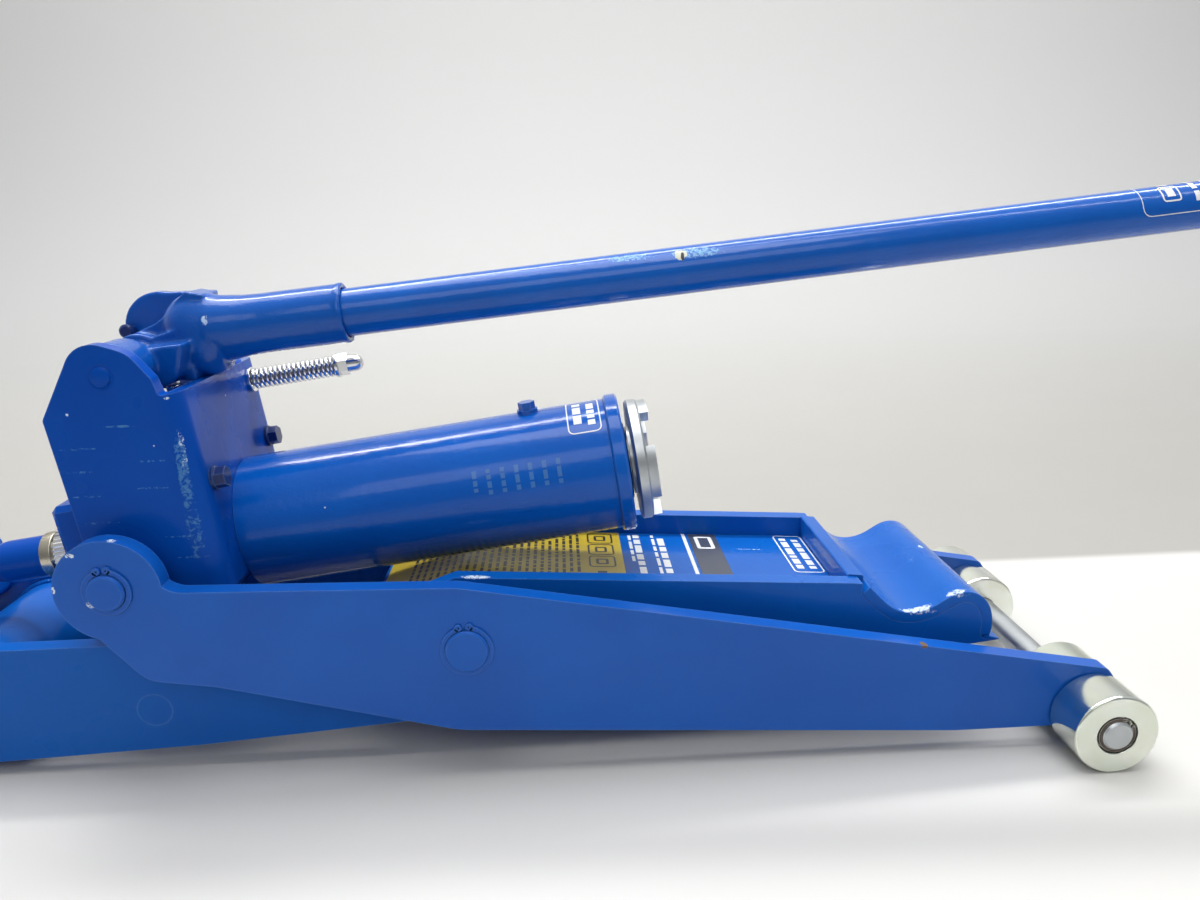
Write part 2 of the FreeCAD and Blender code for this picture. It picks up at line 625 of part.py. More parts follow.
def make_head_saddle():
    """Castle-topped saddle that swivels in the cylinder's end cap."""
    plate_front = SADDLE_BACK_S + 7.0
    tooth_height = 5.0
    plate = rod(SADDLE_BACK_S, plate_front, SADDLE_R)
    rims = [edge for edge in plate.Edges if isinstance(edge.Curve, Part.Circle)]
    plate = plate.makeChamfer(1.2, rims)
    crown = rod(plate_front - 1.5, plate_front + tooth_height, SADDLE_R - 1.2)
    crown = crown.cut(rod(plate_front - 2, BIG, SADDLE_R - 10))
    gap_half = 11.0
    for turn_deg in (0, 90):
        gap = Part.makeBox(tooth_height + 1, 2 * BIG, 2 * gap_half, Vec(plate_front, -BIG, -gap_half))
        gap.rotate(Vec(0, 0, 0), Vec(1, 0, 0), turn_deg + 45)
        crown = crown.cut(gap)
    stem = rod(CYLINDER_FRONT_S + 6, SADDLE_BACK_S + 1, SADDLE_STEM_R)
    hub = rod(SADDLE_BACK_S - 1.6, SADDLE_BACK_S + 1, 20.0)
    parts["head_saddle"] = tilted(union([plate, crown, stem, hub]))


def make_small_fittings():
    """Front screws, lever shaft, release knob, pump barrel and plunger."""
    heads = []
    for y in (-45.4, 45.4):
        flange = rod(HOUSING_FRONT_S, HOUSING_FRONT_S + 2.0, 6.4, y, 40.5)
        head = hex_prism(Vec(HOUSING_FRONT_S + 1.9, y, 40.5), Vec(1, 0, 0), 10.0, 5.6)
        heads.append(union([flange, head]))
    parts["front_screws"] = tilted(Part.makeCompound(heads))
    parts["lever_shaft"] = tilted(pin(LEVER_PIVOT, LEVER_SHAFT_R, -HOUSING_OUTER_Y - 1.6,
                                      HOUSING_OUTER_Y + 1.6))
    knob_y, knob_n, knob_r = 34.0, 24.0, 9.5
    knob_front = BLOCK_REAR_S - 2.0
    knob = rod(knob_front - 14, knob_front, knob_r, knob_y, knob_n)
    rims = [edge for edge in knob.Edges if isinstance(edge.Curve, Part.Circle)]
    knob = knob.makeChamfer(CHAMFER, rims)
    cutters = []
    flutes = 20
    for i in range(flutes):
        angle = 2 * math.pi * i / flutes
        cutters.append(rod(knob_front - 12, knob_front - 2, 0.8, knob_y + knob_r * math.cos(angle),
                           knob_n + knob_r * math.sin(angle)))
    knob = knob.cut(cutters)
    parts["release_knob"] = tilted(union([knob, rod(knob_front - 1, BLOCK_REAR_S + 16, 4.0, knob_y, knob_n)]))
    barrel_top = 68.0
    barrel = union([
        Part.makeCylinder(PLUNGER_R + 2.5, barrel_top - 30, Vec(PLUNGER_S, PLUNGER_Y, 30)),
        hex_prism(Vec(PLUNGER_S, PLUNGER_Y, BLOCK_TOP_N), Vec(0, 0, 1), 15.0, 9.0),
    ])
    barrel = barrel.cut(Part.makeCylinder(PLUNGER_R + RUNNING_FIT, 60, Vec(PLUNGER_S, PLUNGER_Y, 20)))
    parts["pump_barrel"] = tilted(barrel)
    plunger = Part.makeCylinder(PLUNGER_R, PLUNGER_TOP_N - 24.5, Vec(PLUNGER_S, PLUNGER_Y, 24.5))
    ends = [edge for edge in plunger.Edges if isinstance(edge.Curve, Part.Circle)]
    parts["pump_plunger"] = tilted(plunger.makeChamfer(CHAMFER, ends))


def make_return_spring():
    """Guide rod through the front face, with its coil spring and acorn nut."""
    y, n = GUIDE_ROD_Y, GUIDE_ROD_N
    slot_length, slot_width = 16.0, 8.2
    eye_s = LEVER_PIVOT[0]
    strap = Part.makeBox(15.5, STRAP_THICKNESS, 23.9, Vec(eye_s - 9, y - STRAP_THICKNESS / 2, n - 9))
    slot = Part.makeBox(slot_width, 2 * STRAP_THICKNESS, slot_length,
                        Vec(eye_s - slot_width / 2, y - STRAP_THICKNESS, n - 4.0))
    strap = strap.cut(slot)
    parts["guide_rod"] = tilted(union([strap, rod(eye_s + 5.5, GUIDE_ROD_END_S, GUIDE_ROD_R, y, n)]))
    washer_s = HOUSING_FRONT_S + 0.1
    parts["spring_seat"] = tilted(
        rod(washer_s, washer_s + 2.2, 7.6, y, n).cut(rod(washer_s - 1, washer_s + 5, GUIDE_ROD_R + 0.4, y, n)))
    spring_low = washer_s + 2.2
    spring_high = 105.0
    pitch = (spring_high - spring_low - 2 * SPRING_WIRE_R) / SPRING_TURNS
    helix = Part.makeHelix(pitch, pitch * SPRING_TURNS, SPRING_R)
    start = Vec(SPRING_R, 0, 0)
    section = Part.Wire(Part.makeCircle(SPRING_WIRE_R, start, Vec(0, 1, 0)))
    coil = Part.Wire(helix).makePipeShell([section], True, True)
    coil.rotate(Vec(0, 0, 0), Vec(0, 1, 0), 90)
    coil.translate(Vec(spring_low + SPRING_WIRE_R, y, n))
    parts["return_spring"] = tilted(coil)
    collar = rod(spring_high, spring_high + 2.0, 7.4, y, n)
    nut = hex_prism(Vec(spring_high + 2.0, y, n), Vec(1, 0, 0), 11.5, 5.5)
    dome_centre = Vec(spring_high + 11.5, y, n)
    dome = Part.makeSphere(5.2, dome_centre).fuse(rod(spring_high + 7, spring_high + 11.5, 5.2, y, n))
    parts["spring_collar"] = tilted(collar.cut(rod(0, BIG, GUIDE_ROD_R, y, n)))
    acorn = union([nut, dome])
    parts["acorn_nut"] = tilted(acorn.cut(rod(0, GUIDE_ROD_END_S, GUIDE_ROD_R, y, n)))


# ---------------------------------------------------------------- lever and handle
def along_handle(shape):
    """Moves a shape drawn along X from the origin onto the handle's axis."""
    placed = shape.copy()
    placed.rotate(Vec(0, 0, 0), Vec(0, 1, 0), -HANDLE_SLOPE_DEG)
    placed.translate(Vec(HANDLE_ON_AXIS[0], 0, HANDLE_ON_AXIS[1]))
    return placed


def handle_run(x):
    """Distance along the handle from its reference point to a place x."""
    return (x - HANDLE_ON_AXIS[0]) / math.cos(math.radians(HANDLE_SLOPE_DEG))


def make_pump_lever():
    """Cast lever: boss on the lever shaft, web, ear, tail and handle socket in one."""
    pivot = level_point(*LEVER_PIVOT)
    boss_y = HOUSING_INNER_Y - BODY_GAP
    boss = disc(pivot, LEVER_BOSS_R, -boss_y, boss_y)
    plunger_room = PLUNGER_R + 1.0
    boss = boss.cut(ring(pivot, LEVER_BOSS_R + 1, PLUNGER_S - LEVER_PIVOT[0] - PLUNGER_R - BODY_GAP,
                         PLUNGER_Y - plunger_room, PLUNGER_Y + plunger_room))
    strap_room = STRAP_THICKNESS / 2 + BODY_GAP
    boss = boss.cut(ring(pivot, LEVER_BOSS_R + 1, LEVER_WAIST_R,
                         GUIDE_ROD_Y - strap_room, GUIDE_ROD_Y + strap_room))
    web = slab([
        (pivot[0] - 11.0, pivot[1] + 6.0, 6),
        (-503.5, 239.0, 18),
        (-486.0, 259.8, 8),
        (-466.0, 255.5, 0),
        (-458.0, 223.6, 4),
        (-480.0, 219.5, 12),
        (-490.5, 212.6, 6),
        (-501.0, 212.4, 4),
    ], PLUNGER_Y + PLUNGER_R + 1.5, LEVER_WEB_Y)
    ear = disc(EAR_CENTRE, EAR_R, 11.0, LEVER_WEB_Y)
    ear_root = slab([
        (EAR_CENTRE[0], EAR_CENTRE[1] - 16, 0),
        (EAR_CENTRE[0] + 2, EAR_CENTRE[1] + EAR_R - 0.2, 0),
        (-478.0, 257.5, 0),
        (-478.0, 225.0, 0),
    ], 11.0, LEVER_WEB_Y)
    nose_s, nose_r = PLUNGER_S, 8.0
    nose_centre = level_point(nose_s, PLUNGER_TOP_N + 0.4 + nose_r)
    nose = disc(nose_centre, nose_r, PLUNGER_Y - 8, PLUNGER_Y + 8)
    nose_root = slab([
        (nose_centre[0] - 8, nose_centre[1] - 1, 0),
        (nose_centre[0] - 10, nose_centre[1] + 12, 0),
        (nose_centre[0] + 12, nose_centre[1] + 14, 0),
        (nose_centre[0] + 8, nose_centre[1] - 1, 0),
    ], PLUNGER_Y - 8, PLUNGER_Y + 8)
    socket = along_handle(rod(handle_run(SOCKET_START_X), handle_run(SOCKET_END_X), SOCKET_R))
    lever = boss
    for shape in (web, union([nose, nose_root]), socket, ear, ear_root):
        lever = lever.fuse(shape)
    bore = along_handle(rod(handle_run(HANDLE_START_X) - 0.5, BIG, HANDLE_TUBE_R + RUNNING_FIT))
    lever = lever.cut(disc(pivot, LEVER_SHAFT_R + RUNNING_FIT, -BIG, BIG)).cut(bore)
    tail_low = level_point(LEVER_PIVOT[0], GUIDE_ROD_N)
    tails = []
    for y_low, y_high in ((GUIDE_ROD_Y - 8.0, GUIDE_ROD_Y - 4.0), (GUIDE_ROD_Y + 4.0, GUIDE_ROD_Y + 8.0)):
        tails.append(union([
            disc(tail_low, 5.0, y_low, y_high),
            slab([
                (tail_low[0] - 5, tail_low[1], 0),
                (tail_low[0] - 8.5, pivot[1] - 10, 0),
                (tail_low[0] + 6.0, pivot[1] - 10, 0),
                (tail_low[0] + 5, tail_low[1], 0),
            ], y_low, y_high)]))
    link_pin = disc(tail_low, 3.0, GUIDE_ROD_Y - 8.0, GUIDE_ROD_Y + 8.0)
    for shape in tails + [link_pin]:
        lever = lever.fuse(shape)
    parts["pump_lever"] = lever
    latch_at = (-526.0, 236.5)
    latch = pin(latch_at, 4.0, 4.0, 11.0)
    parts["lever_stop_pin"] = latch.cut(disc(EAR_CENTRE, EAR_R, 11.0, LEVER_WEB_Y))


def make_handle():
    """Long tube that stands in the lever's socket, with a plug in its free end."""
    start = handle_run(HANDLE_START_X)
    end = start + HANDLE_LENGTH
    tube = rod(start, end, HANDLE_TUBE_R).cut(rod(start - 1, end + 1, HANDLE_TUBE_R - HANDLE_TUBE_WALL))
    parts["handle_tube"] = along_handle(tube)
    plug = union([
        rod(end, end + 3.0, HANDLE_TUBE_R),
        rod(end - 18.0, end + 1.0, HANDLE_TUBE_R - HANDLE_TUBE_WALL),
    ])
    parts["handle_end_plug"] = along_handle(plug)


# ---------------------------------------------------------------- build and write
def build():
    """Makes every piece and moves the origin under the middle of the jack."""
    make_front_axle()
    make_front_rollers()
    make_lift_arms()
    make_scissor_shaft()
    make_trunnions()
    toe_under = make_toe()
    make_frame_plates(toe_under)
    make_tray()
    make_cross_members()
    make_rear_wheels()
    make_housing()
    make_pump_block()
    make_cylinder()
    make_ram()
    make_head_saddle()
    make_small_fittings()
    make_return_spring()
    make_pump_lever()
    make_handle()
    box = FreeCAD.BoundBox()
    for shape in parts.values():
        box.add(shape.BoundBox)
    middle_x = (box.XMin + box.XMax) / 2
    for shape in parts.values():
        shape.translate(Vec(-middle_x, 0, 0))
    return middle_x, box


middle, whole = build()
print("front axle at x = %.6f, size %.1f x %.1f x %.1f" % (
    -middle, whole.XLength, whole.YLength, whole.ZLength))
os.makedirs("parts", exist_ok=True)
for name, shape in parts.items():
    if not shape.isValid() or not shape.Solids:
        print("check", name, shape.isValid(), len(shape.Solids))
    shape.exportStep("parts/%s.step" % name)
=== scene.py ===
"""Looks of a low forklift jack: painted scissor frame, tilting pump unit, long handle.

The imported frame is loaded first.  Every sub-assembly then dresses its own pieces and adds
what the frame leaves plain: castings, weld beads, labels, springs and clips.
All lengths are metres in the frame's own axes: +X to the toe, +Z up, floor at Z = 0.
"""
import json
import logging
import math
import random
from dataclasses import dataclass, field, replace
from enum import Enum
from typing import Sequence

import bmesh
import bpy
from mathutils import Matrix, Vector
from mathutils.bvhtree import BVHTree


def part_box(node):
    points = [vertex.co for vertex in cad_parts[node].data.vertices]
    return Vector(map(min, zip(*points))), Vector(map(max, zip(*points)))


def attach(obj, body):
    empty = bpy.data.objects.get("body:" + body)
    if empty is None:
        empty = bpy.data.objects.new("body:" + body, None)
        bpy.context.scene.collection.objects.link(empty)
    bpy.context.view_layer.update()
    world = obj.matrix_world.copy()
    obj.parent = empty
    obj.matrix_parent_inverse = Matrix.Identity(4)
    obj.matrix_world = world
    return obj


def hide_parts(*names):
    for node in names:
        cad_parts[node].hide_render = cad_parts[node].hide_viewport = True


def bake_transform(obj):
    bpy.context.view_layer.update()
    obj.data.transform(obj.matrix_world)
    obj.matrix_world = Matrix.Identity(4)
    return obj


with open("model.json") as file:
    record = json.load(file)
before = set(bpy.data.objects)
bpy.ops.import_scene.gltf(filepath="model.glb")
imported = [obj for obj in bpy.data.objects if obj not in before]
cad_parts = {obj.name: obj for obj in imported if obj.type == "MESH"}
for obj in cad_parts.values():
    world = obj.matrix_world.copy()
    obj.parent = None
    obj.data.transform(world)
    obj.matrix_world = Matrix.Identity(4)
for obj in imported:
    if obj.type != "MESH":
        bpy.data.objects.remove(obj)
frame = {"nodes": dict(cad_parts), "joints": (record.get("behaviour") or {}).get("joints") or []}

LOG = logging.getLogger("jack")
PRINT_GAP = 0.00012      # how far a label's film stands off the paint
INK_GAP = 0.00006        # how far the ink stands off its film
Colour = tuple[float, float, float]


# ------------------------------------------------------------------ places
@dataclass(frozen=True)
class JackPlaces:
    """Main points and directions of the jack, read from the frame's joints."""

    axle: Vector
    scissor: Vector
    trunnion: Vector
    lever: Vector
    rear_axle: Vector
    forward: Vector
    upward: Vector
    handle: Vector
    handle_middle: Vector

    @staticmethod
    def from_frame() -> "JackPlaces":
        """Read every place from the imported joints.

        Returns:
            The places of this jack.
        """
        joints = {joint["name"]: joint for joint in frame["joints"]}
        low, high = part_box("handle_tube")
        return JackPlaces(
            axle=Vector(joints["arm_lift"]["pos_m"]),
            scissor=Vector(joints["frame_fold"]["pos_m"]),
            trunnion=Vector(joints["unit_tilt"]["pos_m"]),
            lever=Vector(joints["lever_pump"]["pos_m"]),
            rear_axle=Vector(joints["rear_wheel_left_spin"]["pos_m"]),
            forward=Vector(joints["guide_rod_slide"]["axis"]).normalized(),
            upward=Vector(joints["plunger_stroke"]["axis"]).normalized(),
            handle=Vector(joints["handle_pull"]["axis"]).normalized(),
            handle_middle=(low + high) / 2,
        )

    def on_unit(self, along: float, side: float, above: float) -> Vector:
        """Place in the power unit's own directions, measured from the trunnion."""
        return self.trunnion + self.forward * along + self.upward * above + Vector((0, side, 0))

    def on_handle(self, x: float) -> Vector:
        """Point of the handle's centre line at a given X."""
        run = (x - self.handle_middle.x) / self.handle.x
        return self.handle_middle + self.handle * run


# ------------------------------------------------------------------ node building
class NodeBench:
    """Lays out the nodes of one tree and links them."""

    def __init__(self, tree: bpy.types.NodeTree) -> None:
        """Work on one node tree."""
        self.tree = tree

    def add(self, kind: str, values: dict | None = None, **settings: object) -> bpy.types.Node:
        """Add a node.

        Args:
            kind: the node's type name.
            values: socket name or number, with a constant or a socket to link.
            settings: the node's own properties.

        Returns:
            The new node.
        """
        node = self.tree.nodes.new(kind)
        for name, value in settings.items():
            setattr(node, name, value)
        for key, value in (values or {}).items():
            self.feed(node.inputs[key], value)
        return node

    def feed(self, socket: bpy.types.NodeSocket, value: object) -> None:
        """Link a socket to another one, or give it a constant.

        Args:
            socket: the input to feed.
            value: a socket to link, or a constant.
        """
        if isinstance(value, bpy.types.NodeSocket):
            self.tree.links.new(value, socket)
        elif isinstance(value, tuple) and len(value) == 3 and socket.type == "RGBA":
            socket.default_value = (*value, 1.0)
        else:
            socket.default_value = value

    def math(self, operation: str, a: object, b: object = 0.0,
             clamp: bool = False) -> bpy.types.NodeSocket:
        """One arithmetic step on two numbers."""
        node = self.add("ShaderNodeMath", {0: a, 1: b}, operation=operation, use_clamp=clamp)
        return node.outputs[0]

    def vector(self, operation: str, a: object, b: object = (0.0, 0.0, 0.0)) -> bpy.types.Node:
        """One arithmetic step on two vectors."""
        return self.add("ShaderNodeVectorMath", {0: a, 1: b}, operation=operation)

    def noise(self, place: object, scale: object, detail: float = 2.0, rough: float = 0.5,
              distortion: float = 0.0) -> bpy.types.NodeSocket:
        """Value noise from 0 to 1.

        Args:
            place: coordinates of the noise.
            scale: its grain, in cycles to a metre.
            detail: how many finer layers it has.
            rough: how strong the finer layers are.
            distortion: how much it is pulled out of shape.

        Returns:
            The noise.
        """
        values = {"Vector": place, "Scale": scale, "Detail": detail, "Roughness": rough,
                  "Distortion": distortion}
        return self.add("ShaderNodeTexNoise", values).outputs[0]

    def remap(self, value: object, low: object, high: object, to_low: object = 0.0,
              to_high: object = 1.0) -> bpy.types.NodeSocket:
        """Smooth step of a value between two limits."""
        values = {0: value, 1: low, 2: high, 3: to_low, 4: to_high}
        return self.add("ShaderNodeMapRange", values, interpolation_type="SMOOTHSTEP").outputs[0]

    def blend(self, factor: object, a: object, b: object) -> bpy.types.NodeSocket:
        """Mix of two colours."""
        node = self.add("ShaderNodeMix", {0: factor, 6: a, 7: b}, data_type="RGBA")
        return node.outputs[2]

    def stretch(self, place: object, turn: Colour, scale: Colour) -> bpy.types.NodeSocket:
        """Coordinates turned and scaled along their own axes."""
        return self.add("ShaderNodeMapping", {0: place, 2: turn, 3: scale}).outputs[0]


class SocketKind(Enum):
    """Kinds of group socket that the effects use."""

    VALUE = "NodeSocketFloat"
    VECTOR = "NodeSocketVector"


class EffectShelf:
    """Surface effects shared by the finishes, each built once as a node group."""

    def __init__(self) -> None:
        """Build all groups."""
        self.peel = self._orange_peel()
        self.edges = self._edge_wear_and_highlight()
        self.scratches = self._scratches()
        self.specks = self._specks()
        self.blotch = self._blotch()
        self.spot = self._worn_spot()
        self.turning = self._turning_marks()

    @staticmethod
    def _start(name: str, inputs: dict[str, tuple[SocketKind, object]],
               outputs: dict[str, SocketKind]) -> tuple[NodeBench, bpy.types.Node, bpy.types.Node]:
        """Open a new group with named sockets.

        Args:
            name: the group's name.
            inputs: kind and default of each input.
            outputs: kind of each output.

        Returns:
            The bench of the group, its input node and its output node.
        """
        tree = bpy.data.node_groups.new(name, "ShaderNodeTree")
        for label, (kind, default) in inputs.items():
            socket = tree.interface.new_socket(name=label, in_out="INPUT", socket_type=kind.value)
            if default is not None:
                socket.default_value = default
        for label, kind in outputs.items():
            tree.interface.new_socket(name=label, in_out="OUTPUT", socket_type=kind.value)
        bench = NodeBench(tree)
        return bench, bench.add("NodeGroupInput"), bench.add("NodeGroupOutput")

    def _orange_peel(self) -> bpy.types.NodeTree:
        """Fine dimples of a sprayed coat, as a height in millimetres.

        Returns:
            The effect's group.
        """
        bench, given, made = self._start(
            "Orange Peel",
            {"Vector": (SocketKind.VECTOR, None), "Grain": (SocketKind.VALUE, 650.0),
             "Depth": (SocketKind.VALUE, 0.01)},
            {"Height": SocketKind.VALUE})
        place, grain = given.outputs["Vector"], given.outputs["Grain"]
        fine = bench.noise(place, grain, 1.5, 0.5)
        broad = bench.noise(place, bench.math("MULTIPLY", grain, 0.22), 1.0, 0.4)
        both = bench.math("ADD", fine, bench.math("MULTIPLY", broad, 2.2))
        bench.feed(made.inputs["Height"], bench.math("MULTIPLY", both, given.outputs["Depth"]))
        return bench.tree

    def _edge_wear_and_highlight(self) -> bpy.types.NodeTree:
        """Rubbed edges, and the plain edges used for painted highlights: where the rounded normal leaves the
        real one; the rubbed mask is broken up by noise.

        Returns:
            The effect's group.
        """
        bench, given, made = self._start(
            "Edge Wear And Highlight",
            {"Vector": (SocketKind.VECTOR, None), "Reach": (SocketKind.VALUE, 0.0012),
             "Break Up": (SocketKind.VALUE, 160.0), "Amount": (SocketKind.VALUE, 0.5)},
            {"Mask": SocketKind.VALUE, "Edge": SocketKind.VALUE})
        rounded = bench.add("ShaderNodeBevel", {"Radius": given.outputs["Reach"]}, samples=4)
        plain = bench.add("ShaderNodeNewGeometry")
        dot = bench.vector("DOT_PRODUCT", rounded.outputs[0], plain.outputs["Normal"]).outputs["Value"]
        edge = bench.remap(bench.math("SUBTRACT", 1.0, dot), 0.015, 0.16)
        patches = bench.noise(given.outputs["Vector"], given.outputs["Break Up"], 4.0, 0.65)
        limit = bench.math("SUBTRACT", 0.82, bench.math("MULTIPLY", given.outputs["Amount"], 0.42))
        worn = bench.remap(patches, limit, bench.math("ADD", limit, 0.09))
        bench.feed(made.inputs["Mask"], bench.math("MULTIPLY", edge, worn))
        # Edge: every edge, unbroken; the finishes use it for painted edge highlights.
        bench.feed(made.inputs["Edge"], edge)
        return bench.tree

    def _scratches(self) -> bpy.types.NodeTree:
        """Thin broken lines along one direction of the given coordinates.

        Returns:
            The effect's group.
        """
        bench, given, made = self._start(
            "Scratches",
            {"Vector": (SocketKind.VECTOR, None), "Density": (SocketKind.VALUE, 0.4),
             "Width": (SocketKind.VALUE, 0.012)},
            {"Mask": SocketKind.VALUE})
        place = given.outputs["Vector"]
        lines = bench.noise(place, 1.0, 2.0, 0.55, 0.35)
        ridge = bench.math("ABSOLUTE", bench.math("SUBTRACT", lines, 0.5))
        thin = bench.remap(ridge, 0.0, given.outputs["Width"], 1.0, 0.0)
        where = bench.noise(place, 0.37, 2.0, 0.6)
        limit = bench.math("SUBTRACT", 0.78, bench.math("MULTIPLY", given.outputs["Density"], 0.35))
        shown = bench.remap(where, limit, bench.math("ADD", limit, 0.08))
        bench.feed(made.inputs["Mask"], bench.math("MULTIPLY", thin, shown))
        return bench.tree

    def _specks(self) -> bpy.types.NodeTree:
        """Few small round chips or dust grains.

        Returns:
            The effect's group.
        """
        bench, given, made = self._start(
            "Specks",
            {"Vector": (SocketKind.VECTOR, None), "Spacing": (SocketKind.VALUE, 90.0),
             "Size": (SocketKind.VALUE, 0.08), "Share": (SocketKind.VALUE, 0.1)},
            {"Mask": SocketKind.VALUE})
        values = {"Vector": given.outputs["Vector"], "Scale": given.outputs["Spacing"]}
        cells = bench.add("ShaderNodeTexVoronoi", values)
        chance = bench.add("ShaderNodeSeparateColor", {0: cells.outputs["Color"]})
        kept = bench.math("LESS_THAN", chance.outputs[0], given.outputs["Share"])
        size = bench.math("MULTIPLY", given.outputs["Size"], bench.math("ADD", chance.outputs[1], 0.3))
        dot = bench.remap(cells.outputs["Distance"], bench.math("MULTIPLY", size, 0.7), size, 1.0, 0.0)
        bench.feed(made.inputs["Mask"], bench.math("MULTIPLY", dot, kept))
        return bench.tree

    def _blotch(self) -> bpy.types.NodeTree:
        """Slow change over a surface, from 0 to 1.

        Returns:
            The effect's group.
        """
        bench, given, made = self._start(
            "Blotch",
            {"Vector": (SocketKind.VECTOR, None), "Scale": (SocketKind.VALUE, 14.0)},
            {"Value": SocketKind.VALUE})
        slow = bench.noise(given.outputs["Vector"], given.outputs["Scale"], 3.0, 0.55, 0.2)
        bench.feed(made.inputs["Value"], bench.remap(slow, 0.3, 0.7))
        return bench.tree

    def _worn_spot(self) -> bpy.types.NodeTree:
        """A ragged worn patch inside an ellipsoid.

        Returns:
            The effect's group.
        """
        bench, given, made = self._start(
            "Worn Spot",
            {"Vector": (SocketKind.VECTOR, None), "Centre": (SocketKind.VECTOR, (0.0, 0.0, 0.0)),
             "Radii": (SocketKind.VECTOR, (0.01, 0.01, 0.01)), "Break Up": (SocketKind.VALUE, 400.0),
             "Amount": (SocketKind.VALUE, 0.6)},
            {"Mask": SocketKind.VALUE})
        offset = bench.vector("SUBTRACT", given.outputs["Vector"], given.outputs["Centre"]).outputs[0]
        scaled = bench.vector("DIVIDE", offset, given.outputs["Radii"]).outputs[0]
        reach = bench.vector("LENGTH", scaled).outputs["Value"]
        inside = bench.remap(reach, 0.35, 1.0, 1.0, 0.0)
        ragged = bench.noise(given.outputs["Vector"], given.outputs["Break Up"], 4.0, 0.7, 0.6)
        total = bench.math("ADD", ragged, bench.math("MULTIPLY", inside, given.outputs["Amount"]))
        worn = bench.remap(total, 0.86, 0.98)
        present = bench.math("GREATER_THAN", inside, 0.001)
        bench.feed(made.inputs["Mask"], bench.math("MULTIPLY", worn, present))
        return bench.tree

    def _turning_marks(self) -> bpy.types.NodeTree:
        """Fine lathe marks round a Y axis, with the distance from that axis.

        Returns:
            The effect's group.
        """
        bench, given, made = self._start(
            "Turning Marks",
            {"Vector": (SocketKind.VECTOR, None), "Centre": (SocketKind.VECTOR, (0.0, 0.0, 0.0)),
             "Pitch": (SocketKind.VALUE, 0.0006)},
            {"Marks": SocketKind.VALUE, "Distance": SocketKind.VALUE})
        offset = bench.vector("SUBTRACT", given.outputs["Vector"], given.outputs["Centre"]).outputs[0]
        flat = bench.vector("MULTIPLY", offset, (1.0, 0.0, 1.0)).outputs[0]
        distance = bench.vector("LENGTH", flat).outputs["Value"]
        parts = bench.add("ShaderNodeSeparateXYZ", {0: offset})
        path = bench.math("ADD", distance, bench.math("ABSOLUTE", parts.outputs[1]))
        wave = bench.math("SINE", bench.math("DIVIDE", bench.math("MULTIPLY", path, math.tau),
                                             given.outputs["Pitch"]))
        uneven = bench.noise(given.outputs["Vector"], 240.0, 2.0)
        bench.feed(made.inputs["Marks"], bench.math("MULTIPLY", wave, uneven))
        bench.feed(made.inputs["Distance"], distance)
        return bench.tree


# ------------------------------------------------------------------ finishes
@dataclass(frozen=True)
class WornSpot:
    """One place where handling has rubbed or chipped a finish."""

    centre: Vector
    radii: Colour
    amount: float = 0.5
    colour: Colour = (0.72, 0.78, 0.84)
    break_up: float = 420.0


@dataclass(frozen=True)
class Finish:
    """Base of every finish: a name and how it starts its material."""

    name: str

    def open_material(self) -> tuple[bpy.types.Material, NodeBench, bpy.types.Node, bpy.types.NodeSocket]:
        """Start the material.

        Returns:
            The material, its bench, its Principled shader and its object coordinates.
        """
        material = bpy.data.materials.new(self.name)
        material.use_nodes = True
        bench = NodeBench(material.node_tree)
        material.node_tree.nodes.clear()
        shader = bench.add("ShaderNodeBsdfPrincipled")
        bench.add("ShaderNodeOutputMaterial", {"Surface": shader.outputs[0]})
        place = bench.add("ShaderNodeTexCoord").outputs["Object"]
        return material, bench, shader, place

    @staticmethod
    def effect(bench: NodeBench, tree: bpy.types.NodeTree, **values: object) -> bpy.types.Node:
        """Put an effect group in the material, its inputs named with underscores for spaces.

        Args:
            bench: the material's bench.
            tree: the effect's group.
            values: its inputs.

        Returns:
            The placed group.
        """
        named = {key.replace("_", " "): value for key, value in values.items()}
        node = bench.add("ShaderNodeGroup", None, node_tree=tree)
        for key, value in named.items():
            bench.feed(node.inputs[key], value)
        return node

    @staticmethod
    def bump(bench: NodeBench, shader: bpy.types.Node, height: bpy.types.NodeSocket) -> None:
        """Feed the shader's normal from a height in millimetres."""
        node = bench.add("ShaderNodeBump", {"Strength": 1.0, "Distance": 0.001, "Height": height})
        bench.feed(shader.inputs["Normal"], node.outputs[0])

    def build(self, effects: EffectShelf) -> bpy.types.Material:
        """Make the material."""
        raise NotImplementedError


